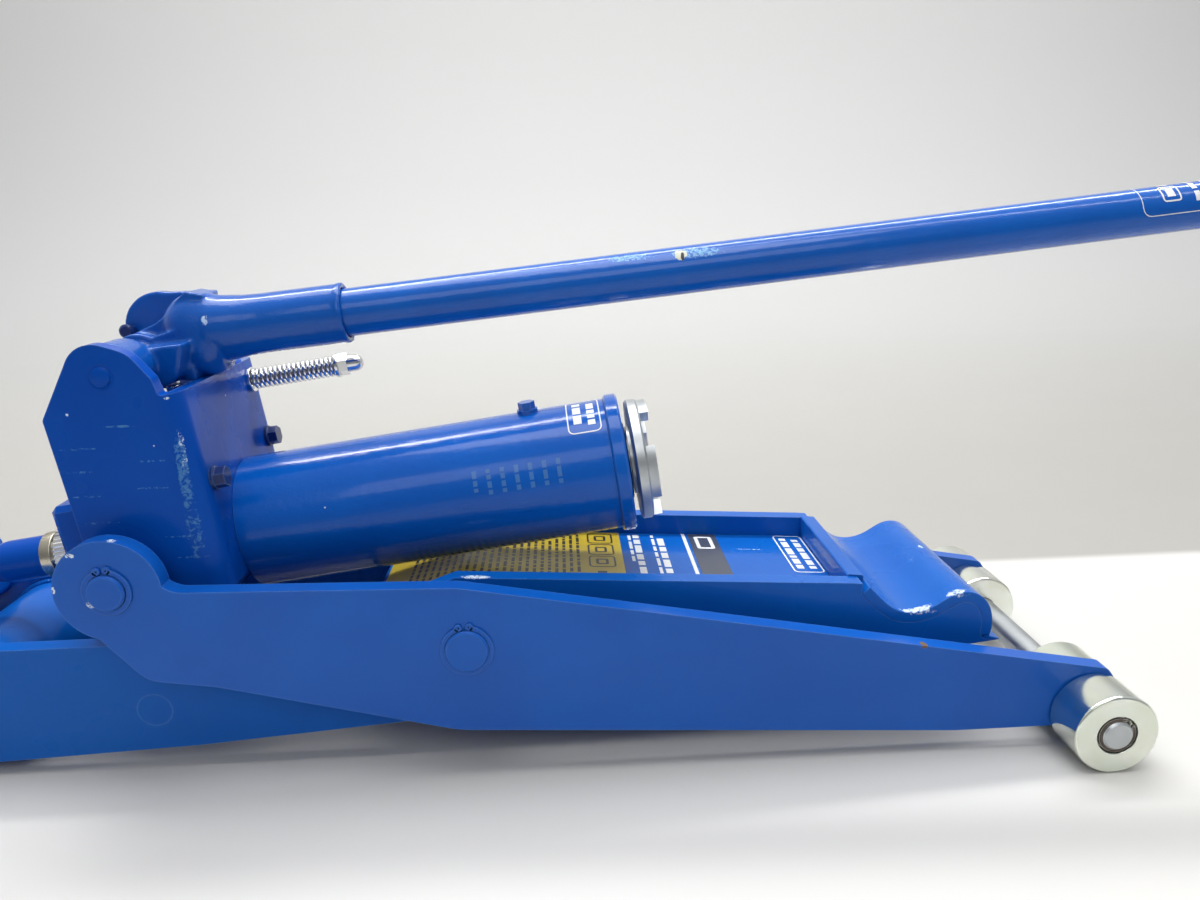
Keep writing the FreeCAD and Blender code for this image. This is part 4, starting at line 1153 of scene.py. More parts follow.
# ------------------------------------------------------------------ paint shop
@dataclass(frozen=True)
class JackFinishes:
    """All finishes of this jack."""

    places: JackPlaces

    def arm_paint(self) -> Enamel:
        """Enamel of the lifting arms: a little duller on the flat faces.

        Returns:
            The finish.
        """
        eye = self.places.trunnion
        bright = (0.70, 0.78, 0.86)
        spots = (
            WornSpot(eye + Vector((-0.0150, -0.082, 0.0200)), (0.0042, 0.004, 0.0024), 0.47, bright, 700.0),
            WornSpot(eye + Vector((-0.0262, -0.082, 0.0020)), (0.0022, 0.004, 0.0034), 0.47, bright, 700.0),
            WornSpot(eye + Vector((0.0060, -0.080, 0.0265)), (0.0050, 0.004, 0.0014), 0.47, bright, 900.0),
            WornSpot(eye + Vector((-0.0085, -0.084, -0.0060)), (0.0050, 0.004, 0.0040), 0.42, bright, 900.0),
            WornSpot(Vector((self.places.axle.x - 0.095, -0.080, 0.0650)), (0.004, 0.006, 0.002), 0.55,
                     (0.16, 0.10, 0.06), 600.0),
        )
        return Enamel("arm_enamel", roughness=0.34, coat=0.35, peel=0.008, wear=0.3, scratch=0.12,
                      specks=0.05, spots=spots)

    def frame_paint(self) -> Enamel:
        """Enamel of the inner frame, the tray and the toe.

        Returns:
            The finish.
        """
        x = self.places.axle.x
        pale = (0.62, 0.72, 0.84)
        spots = (
            WornSpot(Vector((x - 0.333, -0.0575, 0.1062)), (0.015, 0.004, 0.0024), 0.50, pale, 600.0),
            WornSpot(Vector((x - 0.088, -0.057, 0.0745)), (0.020, 0.005, 0.0050), 0.47, pale, 500.0),
            WornSpot(Vector((x - 0.068, -0.057, 0.0835)), (0.014, 0.005, 0.0040), 0.46, pale, 500.0),
            WornSpot(Vector((x - 0.166, 0.023, 0.0835)), (0.020, 0.0012, 0.003), 0.42, pale, 900.0),
            WornSpot(Vector((x - 0.062, 0.010, 0.0846)), (0.003, 0.005, 0.0016), 0.46, pale, 900.0),
        )
        return Enamel("frame_enamel", colour=(0.003, 0.105, 0.45), second=(0.003, 0.094, 0.42), lustre=1.2,
                      roughness=0.26, coat=0.5, peel=0.012, wear=0.4, scratch=0.2, spots=spots)

    def unit_paint(self) -> Enamel:
        """Enamel of the pump housing with its chalky wear along the near fold.

        Returns:
            The finish.
        """
        chalk = (0.06, 0.19, 0.44)
        pale = (0.55, 0.66, 0.80)
        at = self.places.on_unit
        arcs = ((0.030, 0.058), (0.027, 0.044), (0.034, 0.016), (0.036, 0.004), (-0.004, 0.070),
                (-0.006, 0.058), (-0.008, 0.045), (-0.004, 0.030), (0.020, 0.078))
        spots = [
            WornSpot(at(0.044, -0.060, 0.050), (0.0060, 0.004, 0.040), 0.44, chalk, 300.0),
            WornSpot(at(0.041, -0.060, 0.018), (0.0080, 0.004, 0.030), 0.38, chalk, 300.0),
            WornSpot(at(0.046, -0.059, 0.060), (0.0030, 0.003, 0.028), 0.36, pale, 600.0),
            WornSpot(at(0.045, -0.058, 0.088), (0.0030, 0.003, 0.0018), 0.58, pale, 900.0),
            WornSpot(at(-0.004, -0.060, 0.088), (0.0012, 0.003, 0.0012), 0.60, pale, 900.0),
        ]
        spots += [WornSpot(at(s, -0.0605, n), (0.016, 0.003, 0.0011), 0.40, chalk, 260.0) for s, n in arcs]
        return Enamel("unit_enamel", colour=(0.0015, 0.068, 0.39), second=(0.0015, 0.058, 0.35),
                      lustre=1.15, roughness=0.24, coat=0.6, peel=0.008, wear=0.38, scratch=0.3,
                      spots=tuple(spots))

    def shaft_paint(self) -> Enamel:
        """Unit enamel without rubbed edges or the painted edge highlight, for heads painted over in place."""
        return replace(self.unit_paint(), name="shaft_enamel", edge_highlight=0.0, wear=0.0, spots=())

    def barrel_paint(self) -> Enamel:
        """Enamel of the reservoir, the glossiest of all.

        Returns:
            The finish.
        """
        return Enamel("barrel_enamel", colour=(0.0015, 0.098, 0.46), second=(0.002, 0.086, 0.42),
                      lustre=1.26, roughness=0.15, coat=0.8, peel=0.09, grain=1000.0, wear=0.2,
                      scratch=0.1, specks=0.04)

    def handle_paint(self) -> Enamel:
        """Enamel of the handle tube with a nick where it has been struck.

        Returns:
            The finish.
        """
        nick = self.places.on_handle(self.places.axle.x - 0.2156)
        scuff = (0.20, 0.42, 0.66)
        chip = (0.55, 0.60, 0.52)
        dent = (0.56, 0.58, 0.48)
        pit = (0.03, 0.035, 0.03)
        spots = (
            WornSpot(nick + Vector((0.0100, -0.008, 0.0095)), (0.028, 0.007, 0.0060), 0.44, scuff, 600.0),
            WornSpot(nick + Vector((-0.0300, -0.008, 0.0090)), (0.024, 0.006, 0.0050), 0.42, scuff, 600.0),
            WornSpot(nick + Vector((-0.0480, -0.006, 0.0110)), (0.004, 0.005, 0.0030), 0.46, chip, 600.0),
            WornSpot(nick + Vector((0, -0.009, 0.0090)), (0.0058, 0.006, 0.0068), 0.56, dent, 380.0),
            WornSpot(nick + Vector((0.0008, -0.010, 0.0082)), (0.0016, 0.006, 0.0050), 0.60, pit, 500.0),
        )
        return Enamel("handle_enamel", colour=(0.002, 0.096, 0.44), second=(0.002, 0.084, 0.40),
                      roughness=0.18, coat=0.7, peel=0.09, grain=640.0, wear=0.3, scratch=0.15, spots=spots)

    def cast_paint(self) -> Enamel:
        """Thick enamel on the rough cast lever.

        Returns:
            The finish.
        """
        at = self.places.on_handle(self.places.axle.x - 0.4735)
        scuff = (0.40, 0.54, 0.74)
        spots = (WornSpot(at + Vector((0, -0.0165, 0.006)), (0.0034, 0.003, 0.0070), 0.44, scuff, 420.0),)
        return Enamel("cast_enamel", colour=(0.002, 0.084, 0.40), second=(0.002, 0.074, 0.36),
                      roughness=0.22, coat=0.6, peel=0.13, grain=520.0, wear=0.4, scratch=0.05, spots=spots)

    def dark_paint(self) -> Enamel:
        """Enamel of screw heads and stop pins, darker from handling."""
        return Enamel("dark_enamel", colour=(0.004, 0.022, 0.13), second=(0.006, 0.018, 0.10), wear=0.5,
                      roughness=0.25)

    def zinc(self) -> PlatedSteel:
        """Bright zinc with the yellow and green tints of its passivation.

        Returns:
            The finish.
        """
        return PlatedSteel("bright_zinc", colour=(0.86, 0.88, 0.85), stain=(0.80, 0.80, 0.63),
                           tint=(0.76, 0.86, 0.68), centre=self.places.axle, roughness=0.07,
                           face_roughness=0.24, tint_share=0.45)

    def grey_zinc(self) -> PlatedSteel:
        """Greyer zinc of axles and washers."""
        return PlatedSteel("grey_zinc", colour=(0.52, 0.55, 0.57), stain=(0.42, 0.44, 0.45),
                           tint=(0.50, 0.52, 0.52), centre=self.places.axle, roughness=0.32, tint_share=0.3)

    def chrome(self) -> PlatedSteel:
        """Polished chrome.

        Returns:
            The finish.
        """
        return PlatedSteel("chrome", colour=(0.80, 0.81, 0.82), stain=(0.70, 0.71, 0.72),
                           tint=(0.78, 0.79, 0.80), roughness=0.09, marks=0.001, tint_share=0.2,
                           centre=self.places.trunnion)

    def steel(self) -> PlatedSteel:
        """Machined bare steel with an oily film."""
        return PlatedSteel("steel", colour=(0.46, 0.46, 0.45), stain=(0.30, 0.29, 0.26),
                           tint=(0.4, 0.38, 0.33), roughness=0.28, centre=self.places.rear_axle)

    def brass(self) -> PlatedSteel:
        """Brass of the rod's wiper ring, stained by oil."""
        return PlatedSteel("brass", colour=(0.56, 0.52, 0.43), stain=(0.30, 0.26, 0.19),
                           tint=(0.46, 0.42, 0.32), roughness=0.26, centre=self.places.trunnion)

    def burnt_clip(self) -> PlatedSteel:
        """Brown spring steel of the retaining clips."""
        return PlatedSteel("clip_steel", colour=(0.10, 0.075, 0.055), stain=(0.05, 0.035, 0.025),
                           tint=(0.08, 0.06, 0.05), roughness=0.36, centre=self.places.axle)

    def rubber(self) -> Moulded:
        """Black moulded plug and tyres."""
        return Moulded("black_mould")


class Ink(Enum):
    """Inks of the labels, each with its colour and how much of it has rubbed off."""

    YELLOW = ("label_yellow", (0.60, 0.44, 0.025), 0.07)
    BLACK = ("label_black", (0.022, 0.022, 0.024), 0.02)
    SLATE = ("label_slate", (0.055, 0.065, 0.095), 0.03)
    WHITE = ("label_white", (0.78, 0.80, 0.80), 0.05)
    WORN_WHITE = ("label_worn_white", (0.05, 0.16, 0.44), 0.2)

    def film(self) -> PrintedFilm:
        """Finish of this ink."""
        name, colour, rubbed = self.value
        return PrintedFilm(name, colour=colour, rubbed=rubbed)


@dataclass(frozen=True)
class SnapRing:
    """Sizes of an open retaining ring: lean and gap in degrees, the rest in metres."""

    inner: float
    outer: float
    thick: float = 0.0012
    lean: float = 4.0
    gap: float = 13.0
    eye: float = 0.0021
    eye_shift: float = 0.28
    arc_steps: int = 72
    eye_facets: int = 20


@dataclass
class SubAssembly:
    """Base of the jack's groups: its places, its finishes and the room that makes them."""

    places: JackPlaces
    finishes: JackFinishes
    room: FinishRoom

    def dress(self, node: str, finish: Finish, edge: float = 0.0005) -> bpy.types.Object:
        """Give a frame node its finish and broken edges.

        Args:
            node: the frame node.
            finish: what it is painted or plated with.
            edge: width of its broken edges, 0 to leave them.

        Returns:
            The node's object.
        """
        piece = frame["nodes"][node]
        piece.data.materials.clear()
        piece.data.materials.append(self.room.material(finish))
        Shaping.break_edges(piece, edge)
        LOG.info("%s dressed in %s", node, finish.name)
        return piece

    def snap_rings(self, name: str, node: str, body: str, centre: Vector, ring: SnapRing, finish: Finish,
                   slot: str) -> None:
        """Open retaining rings with two eyes at the gap, one at each side.

        Args:
            name: the new piece.
            node: the frame node it stands for.
            body: the body that carries it.
            centre: the shaft's centre.
            ring: the ring's sizes.
            finish: its finish.
            slot: the record's material slot.
        """
        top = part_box(node)[1].y
        middle = math.pi / 2 + math.radians(ring.lean)
        gap = math.radians(ring.gap)
        bm = bmesh.new()
        for side in (-1, 1):
            low, high = sorted((side * (top - ring.thick), side * top))
            outside, inside = [], []
            for i in range(ring.arc_steps + 1):
                turn = middle + gap + (math.tau - 2 * gap) * i / ring.arc_steps
                across, upward = math.cos(turn), math.sin(turn)
                outside.append((centre.x + ring.outer * across, centre.z + ring.outer * upward))
                inside.append((centre.x + ring.inner * across, centre.z + ring.inner * upward))
            MeshWork.prism(bm, outside + list(reversed(inside)), low, high)
            for turn in (middle + gap, middle - gap):
                reach = (ring.inner + ring.outer) / 2 + ring.eye * ring.eye_shift
                eye = Vector((centre.x + reach * math.cos(turn), low, centre.z + reach * math.sin(turn)))
                MeshWork.revolve(bm, eye, Vector((0, 1, 0)),
                                 [(0.0, ring.eye / 3), (0.0, ring.eye), (high - low, ring.eye),
                                  (high - low, ring.eye / 3)], ring.eye_facets)
        piece = MeshWork.finish_piece(name, bm, body, self.room.material(finish), slot)
        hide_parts(node)
        Shaping.break_edges(piece, 0.0002, 1)

    def print_piece(self, name: str, bm: bmesh.types.BMesh, body: str, ink: Ink) -> None:
        """Turn printed patches into a thin piece on a body."""
        MeshWork.finish_piece(name, bm, body, self.room.material(ink.film()), recalculate=False)

    def build(self) -> None:
        """Build and dress the group."""
        raise NotImplementedError


@dataclass
class RollerSet(SubAssembly):
    """Front axle with its four rollers and two retaining clips."""

    edge: float = 0.0006

    def build(self) -> None:
        """Dress the axle, the clips and the rollers."""
        self.dress("front_axle", self.finishes.grey_zinc(), 0.0003)
        clip = self.finishes.burnt_clip()
        self.dress("front_axle_clips", clip, 0.0002)
        self.snap_rings("axle_snap_rings", "front_axle_clips", "front_axle", self.places.axle,
                        SnapRing(0.0081, 0.0100, lean=-42.0, gap=20.0, eye=0.0012), clip, "dark_clip")
        for side in ("left", "right"):
            for place in ("inner", "outer"):
                self.dress(f"roller_{side}_{place}", self.finishes.zinc(), self.edge)


@dataclass
class LiftArms(SubAssembly):
    """Two lifting arms with the scissor shaft and the trunnions between them."""

    plate_edge: float = 0.0009
    clip_edge: float = 0.0002

    def build(self) -> None:
        """Dress the arms, shafts, clips and bushes."""
        paint = self.finishes.arm_paint()
        for node in ("lift_arm_left", "lift_arm_right"):
            self.dress(node, paint, self.plate_edge)
        for node in ("scissor_shaft", "trunnion_pin_left", "trunnion_pin_right"):
            self.dress(node, paint, 0.0004)
        for node in ("scissor_shaft_clips", "trunnion_clips"):
            self.dress(node, paint, self.clip_edge)
        self.snap_rings("scissor_snap_rings", "scissor_shaft_clips", "lift_arms", self.places.scissor,
                        SnapRing(0.0116, 0.0140), paint, "arm_paint")
        self.snap_rings("trunnion_snap_rings", "trunnion_clips", "lift_arms", self.places.trunnion,
                        SnapRing(0.0098, 0.0124), paint, "arm_paint")
        for node in ("scissor_spacers", "trunnion_spacers"):
            self.dress(node, self.finishes.unit_paint())


@dataclass
class InnerFrame(SubAssembly):
    """Inner scissor frame: side plates, tray, toe, cross members and rear axle."""

    plate_edge: float = 0.0008
    bead: float = 0.0022
    bead_inset: float = 0.0006
    bead_points: int = 72
    panel_rows: int = 24
    row_pitch: float = 0.0044
    row_height: float = 0.0019
    sign_pitch: float = 0.0195
    sign_size: float = 0.0178
    tray_half: float = 0.0488

    def build(self) -> None:
        """Dress every plate and lay the weld beads."""
        paint = self.finishes.frame_paint()
        for node in ("frame_plate_left", "frame_plate_right", "tray_cross_bar"):
            self.dress(node, paint, self.plate_edge)
        self.dress("tray_floor", paint, 0.0004)
        self.dress("lifting_toe", paint, 0.0007)
        for node in ("frame_tie_bar", "rear_cross_tube", "ram_cradle_left", "ram_cradle_right"):
            self.dress(node, paint)
        self.dress("rear_axle", self.finishes.grey_zinc(), 0.0003)
        self.dress("rear_axle_clips", self.finishes.burnt_clip(), 0.0002)
        self.dress("rear_washers", self.finishes.zinc(), 0.0002)
        self._lay_beads()
        self._print_tray()

    def _lay_beads(self) -> None:
        """Weld the cross tube to both side plates."""
        low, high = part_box("rear_cross_tube")
        middle = (low + high) / 2
        radius = (high.x - low.x) / 2
        bm = bmesh.new()
        for number, y in enumerate((low.y, high.y)):
            inward = self.bead_inset if y < 0 else -self.bead_inset
            ring = []
            for i in range(self.bead_points):
                turn = math.tau * i / self.bead_points
                ring.append(Vector((middle.x + radius * math.cos(turn), y + inward,
                                    middle.z + radius * math.sin(turn))))
            MeshWork.weld_bead(bm, ring, self.bead, 11 + number, closed=True)
        MeshWork.finish_piece("cross_tube_welds", bm, "inner_frame",
                              self.room.material(self.finishes.frame_paint()), "tray_paint")

    def _print_tray(self) -> None:
        """Lay the yellow panel, the rows of bars, the dark band and the plain frames on the tray."""
        x = self.places.axle.x
        work = PrintWork(TopSurface("tray_floor"))
        yellow = bmesh.new()
        work.patch(yellow, (x - 0.396, x - 0.250), (-0.0490, 0.0490), PRINT_GAP)
        self.print_piece("tray_warning_film", yellow, "inner_frame", Ink.YELLOW)
        black = bmesh.new()
        over = PRINT_GAP + INK_GAP
        for number in range(self.panel_rows):
            start = x - 0.2765 - number * self.row_pitch
            shortened = 0.012 if number % 5 == 4 else 0.0
            work.row(black, (start - self.row_height, start), (-0.044, 0.046 - shortened), over,
                     40 + number, 0.0055)
        for number in range(3):
            low = -0.010 + number * self.sign_pitch
            work.outline(black, (x - 0.2712, x - 0.2548), (low, low + self.sign_size), 0.0011, over)
            work.outline(black, (x - 0.2668, x - 0.2592), (low + 0.0045, low + 0.0132), 0.0016, over)
        work.row(black, (x - 0.2665, x - 0.2610), (-0.044, -0.016), over, 90, 0.012)
        self.print_piece("tray_warning_print", black, "inner_frame", Ink.BLACK)
        band = bmesh.new()
        work.patch(band, (x - 0.2045, x - 0.1860), (-self.tray_half, self.tray_half), PRINT_GAP)
        self.print_piece("tray_band", band, "inner_frame", Ink.SLATE)
        white = bmesh.new()
        work.patch(white, (x - 0.2085, x - 0.2062), (-self.tray_half, self.tray_half), PRINT_GAP)
        work.outline(white, (x - 0.2010, x - 0.1895), (0.0225, 0.0440), 0.0024, over)
        work.row(white, (x - 0.1975, x - 0.1935), (-0.0440, -0.0360), over, 91, 0.004)
        for number, (start, width, low) in enumerate(((0.2215, 0.0042, -0.040), (0.2275, 0.0020, -0.030),
                                                      (0.2370, 0.0042, -0.046), (0.2425, 0.0020, 0.000))):
            work.row(white, (x - start - width, x - start), (low, 0.0455), PRINT_GAP, 60 + number, 0.009)
        work.outline(white, (x - 0.1478, x - 0.1288), (-0.0140, 0.0480), 0.0010, PRINT_GAP)
        work.row(white, (x - 0.1446, x - 0.1402), (-0.0080, 0.0430), PRINT_GAP, 71, 0.007)
        work.row(white, (x - 0.1368, x - 0.1324), (-0.0080, 0.0410), PRINT_GAP, 72, 0.007)
        self.print_piece("tray_print", white, "inner_frame", Ink.WHITE)


@dataclass
class RearWheels(SubAssembly):
    """Two rear wheels."""

    def build(self) -> None:
        """Dress both wheels."""
        for side in ("left", "right"):
            self.dress(f"rear_wheel_{side}", self.finishes.zinc(), 0.0005)


@dataclass
class PowerUnit(SubAssembly):
    """Pump housing, block, reservoir and the small fittings on them."""

    housing_edge: float = 0.0008
    barrel_radius: float = 0.0385
    knurl_start: float = -0.0620
    knurl_length: float = 0.028
    knurl_radius: float = 0.0172
    flute_depth: float = 0.0007
    flutes: int = 44

    def build(self) -> None:
        """Dress the unit from the housing outwards."""
        unit, barrel = self.finishes.unit_paint(), self.finishes.barrel_paint()
        self.dress("housing", unit, self.housing_edge)
        self.dress("pump_block", unit, 0.0006)
        self.dress("lever_shaft", unit, 0.0004)
        self.dress("reservoir_tube", barrel, 0.0004)
        self.dress("reservoir_cap", barrel, 0.0006)
        self.dress("filler_plug", barrel, 0.0003)
        self.dress("pressure_cylinder", self.finishes.steel(), 0.0004)
        self.dress("front_screws", self.finishes.dark_paint(), 0.0004)
        self.dress("pump_barrel", self.finishes.steel(), 0.0003)
        self.dress("gland_nut", self.finishes.chrome(), 0.0002)
        self.dress("spring_seat", self.finishes.chrome(), 0.0003)
        self.dress("head_saddle", self.finishes.grey_zinc(), 0.0005)
        self.dress("release_knob", self.finishes.zinc(), 0.0002)
        self.dress("pump_plunger", self.finishes.chrome(), 0.0002)
        self._print_barrel()
        self._flute_gland()
        self._paint_over_shaft()

    def _print_barrel(self) -> None:
        """Plain frame near the cap and the faint remains of print lower down."""
        barrel = BarrelSurface(self.places.trunnion, self.places.forward, self.barrel_radius)
        work = PrintWork(barrel, 0.002)
        white = bmesh.new()
        work.outline(white, (0.2400, 0.2590), (-0.004, 0.0300), 0.0007, PRINT_GAP)
        work.row(white, (0.2436, 0.2482), (0.002, 0.0265), PRINT_GAP, 21, 0.006)
        work.row(white, (0.2516, 0.2558), (0.004, 0.0250), PRINT_GAP, 22, 0.005)
        self.print_piece("barrel_print", white, "power_unit", Ink.WHITE)
        faint = bmesh.new()
        for number in range(7):
            start = 0.184 + number * 0.0078
            work.row(faint, (start, start + 0.0024), (0.042, 0.056), INK_GAP, 30 + number, 0.004)
        self.print_piece("barrel_worn_print", faint, "power_unit", Ink.WORN_WHITE)

    def _flute_gland(self) -> None:
        """Knurled gland nut behind the block."""
        bm = bmesh.new()
        MeshWork.fluted(bm, self.places.on_unit(self.knurl_start, 0, 0), self.places.forward,
                        self.knurl_length, self.knurl_radius, self.flute_depth, self.flutes)
        piece = MeshWork.finish_piece("gland_knurl", bm, "power_unit",
                                      self.room.material(self.finishes.chrome()), "chrome")
        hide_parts("gland_nut")
        Shaping.break_edges(piece, 0.00015, 1)

    def _paint_over_shaft(self) -> None:
        """Shaft painted over at both cheeks: flush skin, ring groove and small round head."""
        bm = bmesh.new()
        half = [(0.0, 0.0085), (0.0601, 0.0085), (0.06051, 0.0085), (0.06052, 0.0108), (0.06066, 0.0070),
                (0.06068, 0.0061), (0.06058, 0.0058), (0.06058, 0.0053), (0.06085, 0.0050), (0.06170, 0.0047),
                (0.06200, 0.0041)]
        profile = [(-along, radius) for along, radius in reversed(half[1:])] + half
        MeshWork.solid_turning(bm, self.places.lever, Vector((0, 1, 0)), profile)
        piece = MeshWork.finish_piece("lever_shaft_skin", bm, "power_unit",
                                      self.room.material(self.finishes.shaft_paint()), "unit_paint")
        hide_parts("lever_shaft")
        Shaping.break_edges(piece, 0.0)


@dataclass
class ReturnSpring(SubAssembly):
    """Guide rod with its collar, acorn nut and coil spring."""

    wire: float = 0.0009
    wire_facets: int = 10
    turns: int = 16
    end_turns: float = 1.0
    points_per_turn: int = 28
    coil: float = 0.0056
    side: float = 0.042
    above: float = 0.0775
    seat_along: float = 0.0539
    collar_along: float = 0.1049

    def build(self) -> None:
        """Dress the rod and wind the spring."""
        for node in ("guide_rod", "spring_collar", "acorn_nut"):
            self.dress(node, self.finishes.chrome(), 0.0003)
        self._wind()

    def _wind(self) -> None:
        """Coil with two closed end turns; it stretches between its seat and the collar."""
        bm = bmesh.new()
        start = self.places.on_unit(self.seat_along + self.wire, self.side, self.above)
        end = self.places.on_unit(self.collar_along - self.wire, self.side, self.above)
        length = (end - start).length
        path = []
        total = self.turns + 2 * self.end_turns
        lead = 2 * self.wire / length
        for i in range(int(total * self.points_per_turn) + 1):
            turn = i / self.points_per_turn
            if turn < self.end_turns:
                share = lead * turn
            elif turn > total - self.end_turns:
                share = 1 - lead * (total - turn)
            else:
                share = lead + (1 - 2 * lead) * (turn - self.end_turns) / self.turns
            angle = math.tau * turn
            spoke = Vector((0, 1, 0)) * math.cos(angle) + self.places.upward * math.sin(angle)
            path.append(start + self.places.forward * length * share + spoke * self.coil)
        MeshWork.tube(bm, path, [self.wire] * len(path), self.wire_facets)
        bmesh.ops.recalc_face_normals(bm, faces=bm.faces)
        mesh = bpy.data.meshes.new("coil_spring")
        bm.to_mesh(mesh)
        bm.free()
        mesh.shade_smooth()
        mesh.materials.append(self.room.material(self.finishes.chrome()))
        piece = bpy.data.objects.new("coil_spring", mesh)
        bpy.context.scene.collection.objects.link(piece)
        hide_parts("return_spring")
        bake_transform(piece)
        LOG.info("coil_spring stretches from the housing to the guide rod")


@dataclass
class Ram(SubAssembly):
    """Piston, rod and rod end behind the housing."""

    def build(self) -> None:
        """Dress the ram."""
        self.dress("ram_piston", self.finishes.steel(), 0.0004)
        self.dress("ram_rod", self.finishes.chrome(), 0.0)
        self.dress("rod_wiper_ring", self.finishes.brass(), 0.0005)
        self.dress("rod_end", self.finishes.unit_paint(), 0.0006)
        self.dress("rod_end_pin", self.finishes.steel(), 0.0004)


@dataclass
class LeverCasting(SubAssembly):
    """Cast pump lever: boss, neck, web, ear and socket flowing into each other."""

    boss_radius: float = 0.0155
    socket_radius: float = 0.0164
    bore_radius: float = 0.0137
    ear_radius: float = 0.0210
    ear_y: tuple[float, float] = (0.0110, 0.0200)
    grain: float = 0.0009
    fillet_passes: int = 7
    neck_start: float = -0.469
    neck_length: float = 0.0680

    def build(self) -> None:
        """Cast the lever and dress its stop pin."""
        self.dress("lever_stop_pin", self.finishes.dark_paint(), 0.0004)
        self.dress("pump_lever", self.finishes.cast_paint(), 0.0)
        bm = bmesh.new()
        self._boss(bm)
        self._neck(bm)
        self._web(bm)
        self._ear(bm)
        self._fork(bm)
        piece = MeshWork.finish_piece("lever_casting", bm, "pump_lever",
                                      self.room.material(self.finishes.cast_paint()), "handle_paint")
        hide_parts("pump_lever")
        grow = piece.modifiers.new("cast_skin", "REMESH")
        grow.mode = "VOXEL"
        grow.voxel_size = self.grain
        grow.use_smooth_shade = True
        soft = piece.modifiers.new("cast_fillets", "SMOOTH")
        soft.factor = 0.5
        soft.iterations = self.fillet_passes

    def _place(self, x: float, z: float) -> tuple[float, float]:
        """Side view place given from the front axle's X."""
        return self.places.axle.x + x, z

    def _boss(self, bm: bmesh.types.BMesh) -> None:
        """Boss on the lever shaft, waisted where the plunger and the strap pass.

        Args:
            bm: the geometry that it is added to.
        """
        spans = ((-0.0515, -0.0305, self.boss_radius), (-0.0310, -0.0170, 0.0112),
                 (-0.0176, 0.0390, self.boss_radius), (0.0380, 0.0460, 0.0102),
                 (0.0450, 0.0515, self.boss_radius))
        for low, high, radius in spans:
            MeshWork.revolve(bm, self.places.lever, Vector((0, 1, 0)),
                             [(low, 0.0087), (low, radius), (high, radius), (high, 0.0087)])

    def _neck(self, bm: bmesh.types.BMesh) -> None:
        """Socket with a thick rim, swelling into the rounded lump below the neck.

        Args:
            bm: the geometry that it is added to.
        """
        start = self.places.on_handle(self.places.axle.x + self.neck_start)
        length = self.neck_length
        r, b = self.socket_radius, self.bore_radius
        MeshWork.revolve(bm, start, self.places.handle,
                         [(-0.006, b), (-0.006, r + 0.0022), (0.002, r + 0.0016), (0.012, r + 0.0004),
                          (0.022, r), (length - 0.0035, r), (length - 0.0028, r + 0.0004),
                          (length, r + 0.0004), (length, b)], 72)
        limit = self.places.axle.x - 0.4685
        points = []
        for centre, radii in (((-0.4840, 0.2372), (0.0185, 0.0178, 0.0200)),
                              ((-0.4815, 0.2288), (0.0200, 0.0185, 0.0185)),
                              ((-0.4715, 0.2372), (0.0150, 0.0180, 0.0184))):
            x, z = self._place(*centre)
            points += MeshWork.ball_points(Vector((x, 0.0, z)), radii)
        MeshWork.hull(bm, [point for point in points if point.x < limit])
        step = [self._place(*at) for at in ((-0.5035, 0.2118), (-0.5015, 0.2360), (-0.4860, 0.2400),
                                            (-0.4820, 0.2110))]
        MeshWork.prism(bm, step, -0.0172, 0.0170)

    def _web(self, bm: bmesh.types.BMesh) -> None:
        """Curved web that sweeps from the neck down to the boss, in front of the ear.

        Args:
            bm: the geometry that it is added to.
        """
        top = ((-0.4760, 0.2570), (-0.4850, 0.2586), (-0.4905, 0.2540), (-0.4960, 0.2472),
               (-0.5030, 0.2420), (-0.5120, 0.2382), (-0.5200, 0.2352))
        low = ((-0.5230, 0.2315), (-0.5150, 0.2320), (-0.5050, 0.2340), (-0.4960, 0.2330),
               (-0.4800, 0.2300))
        MeshWork.prism(bm, [self._place(*at) for at in top + low], -0.0100, 0.0130)
        gusset = ((-0.4800, 0.2570), (-0.4960, 0.2450), (-0.5160, 0.2360), (-0.5180, 0.2220),
                  (-0.4800, 0.2180))
        MeshWork.prism(bm, [self._place(*at) for at in gusset], 0.0090, 0.0170)

    def _ear(self, bm: bmesh.types.BMesh) -> None:
        """Round ear on the far side.

        Args:
            bm: the geometry that it is added to.
        """
        x, z = self._place(-0.5085, 0.2365)
        low, high = self.ear_y
        radius = self.ear_radius
        MeshWork.solid_turning(bm, Vector((x, 0, z)), Vector((0, 1, 0)),
                               [(low, radius - 0.0006), (low + 0.0006, radius), (high - 0.0006, radius),
                                (high, radius - 0.0006)], 72)
        root = ((-0.5085, 0.2205), (-0.5065, 0.2570), (-0.4780, 0.2572), (-0.4780, 0.2250))
        MeshWork.prism(bm, [self._place(*at) for at in root], low, high)

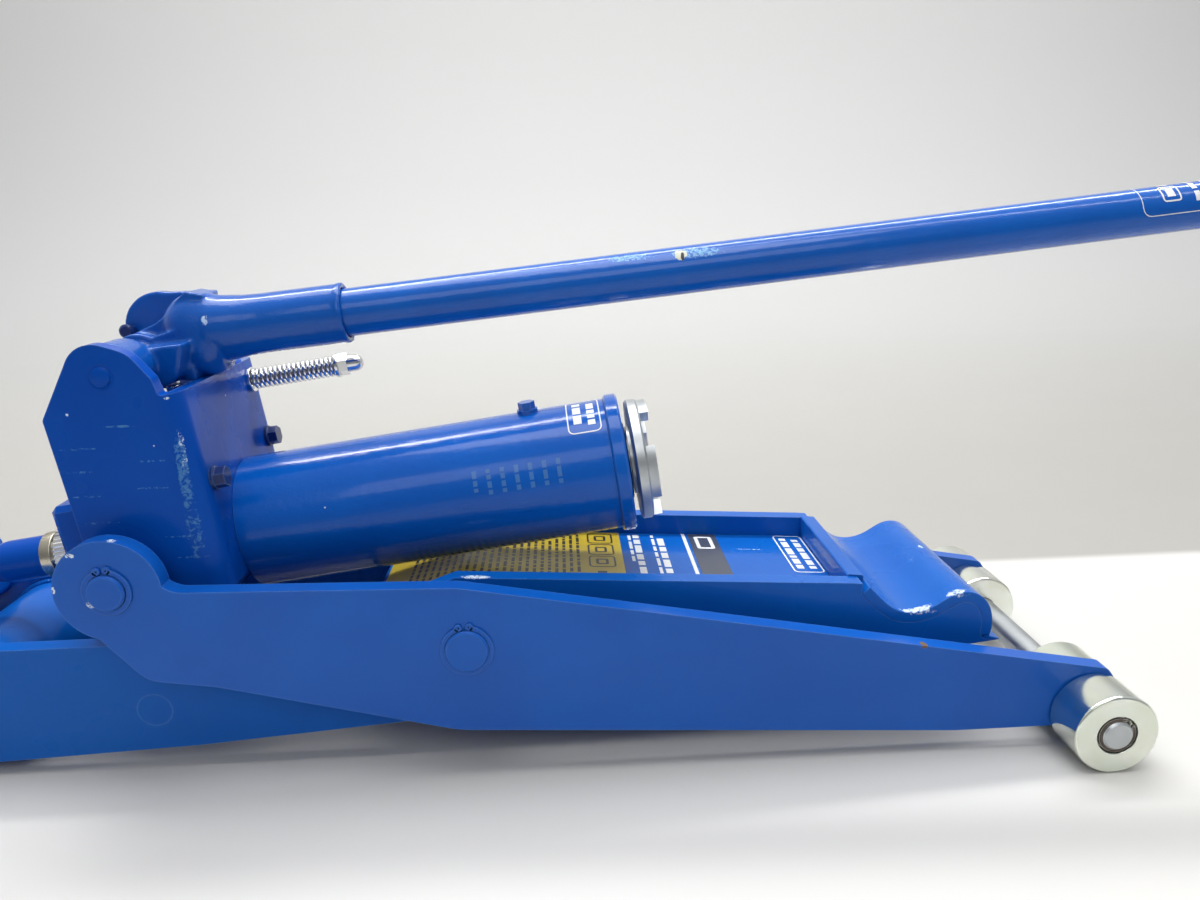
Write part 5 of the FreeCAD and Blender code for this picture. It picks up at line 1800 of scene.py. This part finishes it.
    def _fork(self, bm: bmesh.types.BMesh) -> None:
        """Nose on the plunger and the fork with its link pin on the guide rod's strap.

        Args:
            bm: the geometry that it is added to.
        """
        nose = self.places.on_unit(0.0345, 0.0, 0.0987)
        MeshWork.solid_turning(bm, nose, Vector((0, 1, 0)), [(-0.032, 0.0080), (-0.016, 0.0080)], 40)
        root = ((nose.x - 0.008, nose.z - 0.001), (nose.x - 0.010, nose.z + 0.012),
                (nose.x + 0.012, nose.z + 0.014), (nose.x + 0.008, nose.z - 0.001))
        MeshWork.prism(bm, root, -0.032, -0.014)
        tail = self.places.on_unit(0.0177, 0.0, 0.0775)
        for low, high in ((0.0340, 0.0380), (0.0460, 0.0500)):
            MeshWork.solid_turning(bm, tail, Vector((0, 1, 0)), [(low, 0.0050), (high, 0.0050)], 32)
            root = ((tail.x - 0.005, tail.z), (tail.x - 0.0075, self.places.lever.z - 0.010),
                    (tail.x + 0.0060, self.places.lever.z - 0.010), (tail.x + 0.005, tail.z))
            MeshWork.prism(bm, root, low, high)
        MeshWork.solid_turning(bm, tail, Vector((0, 1, 0)), [(0.0345, 0.0030), (0.0495, 0.0030)], 24)


@dataclass
class Handle(SubAssembly):
    """Long handle tube with its print and end plug."""

    radius: float = 0.0133

    def build(self) -> None:
        """Dress the tube and print its label."""
        self.dress("handle_tube", self.finishes.handle_paint(), 0.0005)
        self.dress("handle_end_plug", self.finishes.rubber(), 0.0008)
        origin = self.places.on_handle(self.places.axle.x)
        work = PrintWork(BarrelSurface(origin, self.places.handle, self.radius), 0.0015)
        white = bmesh.new()
        work.outline(white, (0.0400, 0.1080), (-0.0060, 0.0230), 0.0005, PRINT_GAP)
        work.outline(white, (0.0520, 0.0625), (0.0045, 0.0160), 0.0009, PRINT_GAP)
        work.patch(white, (0.0550, 0.0595), (0.0075, 0.0130), PRINT_GAP)
        work.row(white, (0.0540, 0.0600), (-0.0010, 0.0025), PRINT_GAP, 81, 0.002)
        for number in range(4):
            start = 0.0700 + number * 0.0080
            work.row(white, (start, start + 0.0030), (-0.0020, 0.0200), PRINT_GAP, 82 + number, 0.006)
        self.print_piece("handle_print", white, "handle", Ink.WHITE)


# ------------------------------------------------------------------ studio
@dataclass
class Studio:
    """Pale floor, sweep, soft lights and the camera."""

    floor_half: float = 3.2
    sweep_y: float = 1.5
    sweep_radius: float = 0.9
    wall_top: float = 3.0
    paper_edge_y: float = 0.175
    sweep_steps: int = 12
    lens: float = 26.8
    sensor: float = 36.0
    near_clip: float = 0.02
    camera_at: Colour = (-0.2091, -0.5073, 0.2963)
    camera_right: Colour = (0.99851, -0.04764, -0.02667)
    camera_forward: Colour = (0.03902, 0.96437, -0.26166)

    def build(self) -> None:
        """Set up the whole studio."""
        self._sweep()
        self._lights()
        self._world()
        self._camera()
        bpy.context.scene.view_settings.view_transform = "Standard"

    def _sweep(self) -> None:
        """Floor that curves up into a wall behind the jack."""
        bm = bmesh.new()
        rows = [(-self.floor_half, 0.0), (-0.6, 0.0), (self.paper_edge_y, 0.0), (self.sweep_y, 0.0)]
        for i in range(1, self.sweep_steps + 1):
            turn = math.pi / 2 * i / self.sweep_steps
            rows.append((self.sweep_y + self.sweep_radius * math.sin(turn),
                         self.sweep_radius * (1 - math.cos(turn))))
        rows.append((self.sweep_y + self.sweep_radius, self.wall_top))
        previous = None
        for y, z in rows:
            here = [bm.verts.new((x, y, z)) for x in (-self.floor_half, self.floor_half)]
            if previous:
                bm.faces.new((previous[0], previous[1], here[1], here[0]))
            previous = here
        mesh = bpy.data.meshes.new("sweep")
        bm.to_mesh(mesh)
        bm.free()
        mesh.shade_smooth()
        sweep = bpy.data.objects.new("sweep", mesh)
        bpy.context.scene.collection.objects.link(sweep)
        mesh.materials.append(self._paper())

    def _paper(self) -> bpy.types.Material:
        """Matt white paper, then a greyer floor that pales again up the wall.

        Returns:
            The material.
        """
        material = bpy.data.materials.new("sweep_paper")
        material.use_nodes = True
        bench = NodeBench(material.node_tree)
        shader = material.node_tree.nodes["Principled BSDF"]
        place = bench.add("ShaderNodeTexCoord").outputs["Object"]
        parts = bench.add("ShaderNodeSeparateXYZ", {0: place})
        edge = bench.remap(parts.outputs[1], self.paper_edge_y - 0.003, self.paper_edge_y + 0.012)
        pale = bench.remap(parts.outputs[1], self.paper_edge_y, self.sweep_y + self.sweep_radius)
        fibre = bench.noise(place, 9.0, 3.0)
        white = bench.blend(fibre, (0.62, 0.612, 0.588), (0.60, 0.592, 0.568))
        grey = bench.blend(fibre, (0.375, 0.365, 0.34), (0.36, 0.35, 0.325))
        wall = bench.blend(pale, grey, (0.78, 0.78, 0.765))
        bench.feed(shader.inputs["Base Color"], bench.blend(edge, white, wall))
        shader.inputs["Roughness"].default_value = 0.7
        shader.inputs["Specular IOR Level"].default_value = 0.15
        return material

    def _area(self, name: str, at: Colour, aim: Colour, size: tuple[float, float], power: float,
              tint: Colour = (1.0, 1.0, 1.0)) -> None:
        """One rectangular soft light.

        Args:
            name: the light's name.
            at: where it hangs.
            aim: the point it faces.
            size: its width and depth.
            power: its power in watts.
            tint: its colour.
        """
        data = bpy.data.lights.new(name, "AREA")
        data.shape = "RECTANGLE"
        data.size, data.size_y = size
        data.energy = power
        data.color = tint
        lamp = bpy.data.objects.new(name, data)
        lamp.location = at
        lamp.rotation_mode = "QUATERNION"
        lamp.rotation_quaternion = (Vector(aim) - Vector(at)).to_track_quat("-Z", "Y")
        bpy.context.scene.collection.objects.link(lamp)

    def _lights(self) -> None:
        """Overhead softbox, two long strips, a wall wash and a low fill."""
        self._area("overhead", (-0.35, -0.05, 1.5), (-0.3, 0.0, 0.0), (1.5, 0.5), 12.0)
        self._area("back_strip", (-0.2, 0.55, 1.25), (-0.2, 0.0, 0.15), (2.2, 0.10), 11.0)
        self._area("front_strip", (-0.1, 0.17, 1.35), (-0.2, 0.0, 0.15), (2.2, 0.04), 5.0)
        self._area("camera_fill", (-0.3, -1.9, 1.6), (-0.2, 0.0, 0.1), (1.8, 0.8), 10.0)
        self._area("wall_wash", (0.1, 1.1, 2.3), (0.1, 2.4, 0.5), (3.4, 0.5), 34.0)

    def _world(self) -> None:
        """Pale surroundings above and behind, a dim room in front."""
        world = bpy.data.worlds.new("studio")
        bpy.context.scene.world = world
        world.use_nodes = True
        bench = NodeBench(world.node_tree)
        way = bench.add("ShaderNodeSeparateXYZ", {0: bench.add("ShaderNodeTexCoord").outputs["Generated"]})
        lean = bench.math("ADD", way.outputs[1], bench.math("MULTIPLY", way.outputs[2], 0.9))
        share = bench.remap(lean, -0.55, 0.75)
        colour = bench.blend(share, (0.22, 0.225, 0.24), (0.62, 0.63, 0.65))
        bench.feed(world.node_tree.nodes["Background"].inputs["Color"], colour)

    def _camera(self) -> None:
        """Camera close to the near side, a little above the jack."""
        data = bpy.data.cameras.new("camera")
        data.lens = self.lens
        data.sensor_width = self.sensor
        data.clip_start = self.near_clip
        camera = bpy.data.objects.new("camera", data)
        right = Vector(self.camera_right)
        forward = Vector(self.camera_forward)
        up = right.cross(forward)
        turn = Matrix((right, up, -forward)).transposed()
        camera.matrix_world = Matrix.Translation(self.camera_at) @ turn.to_4x4()
        bpy.context.scene.collection.objects.link(camera)
        bpy.context.scene.camera = camera


def main() -> None:
    """Build every group in order."""
    logging.basicConfig(level=logging.INFO, format="%(message)s")
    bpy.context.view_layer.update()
    places = JackPlaces.from_frame()
    finishes = JackFinishes(places)
    room = FinishRoom()
    Studio().build()
    for group in (RollerSet, LiftArms, InnerFrame, RearWheels, PowerUnit, ReturnSpring, Ram,
                  LeverCasting, Handle):
        group(places, finishes, room).build()
        LOG.info("%s is ready", group.__name__)


if __name__ == "__main__":
    main()
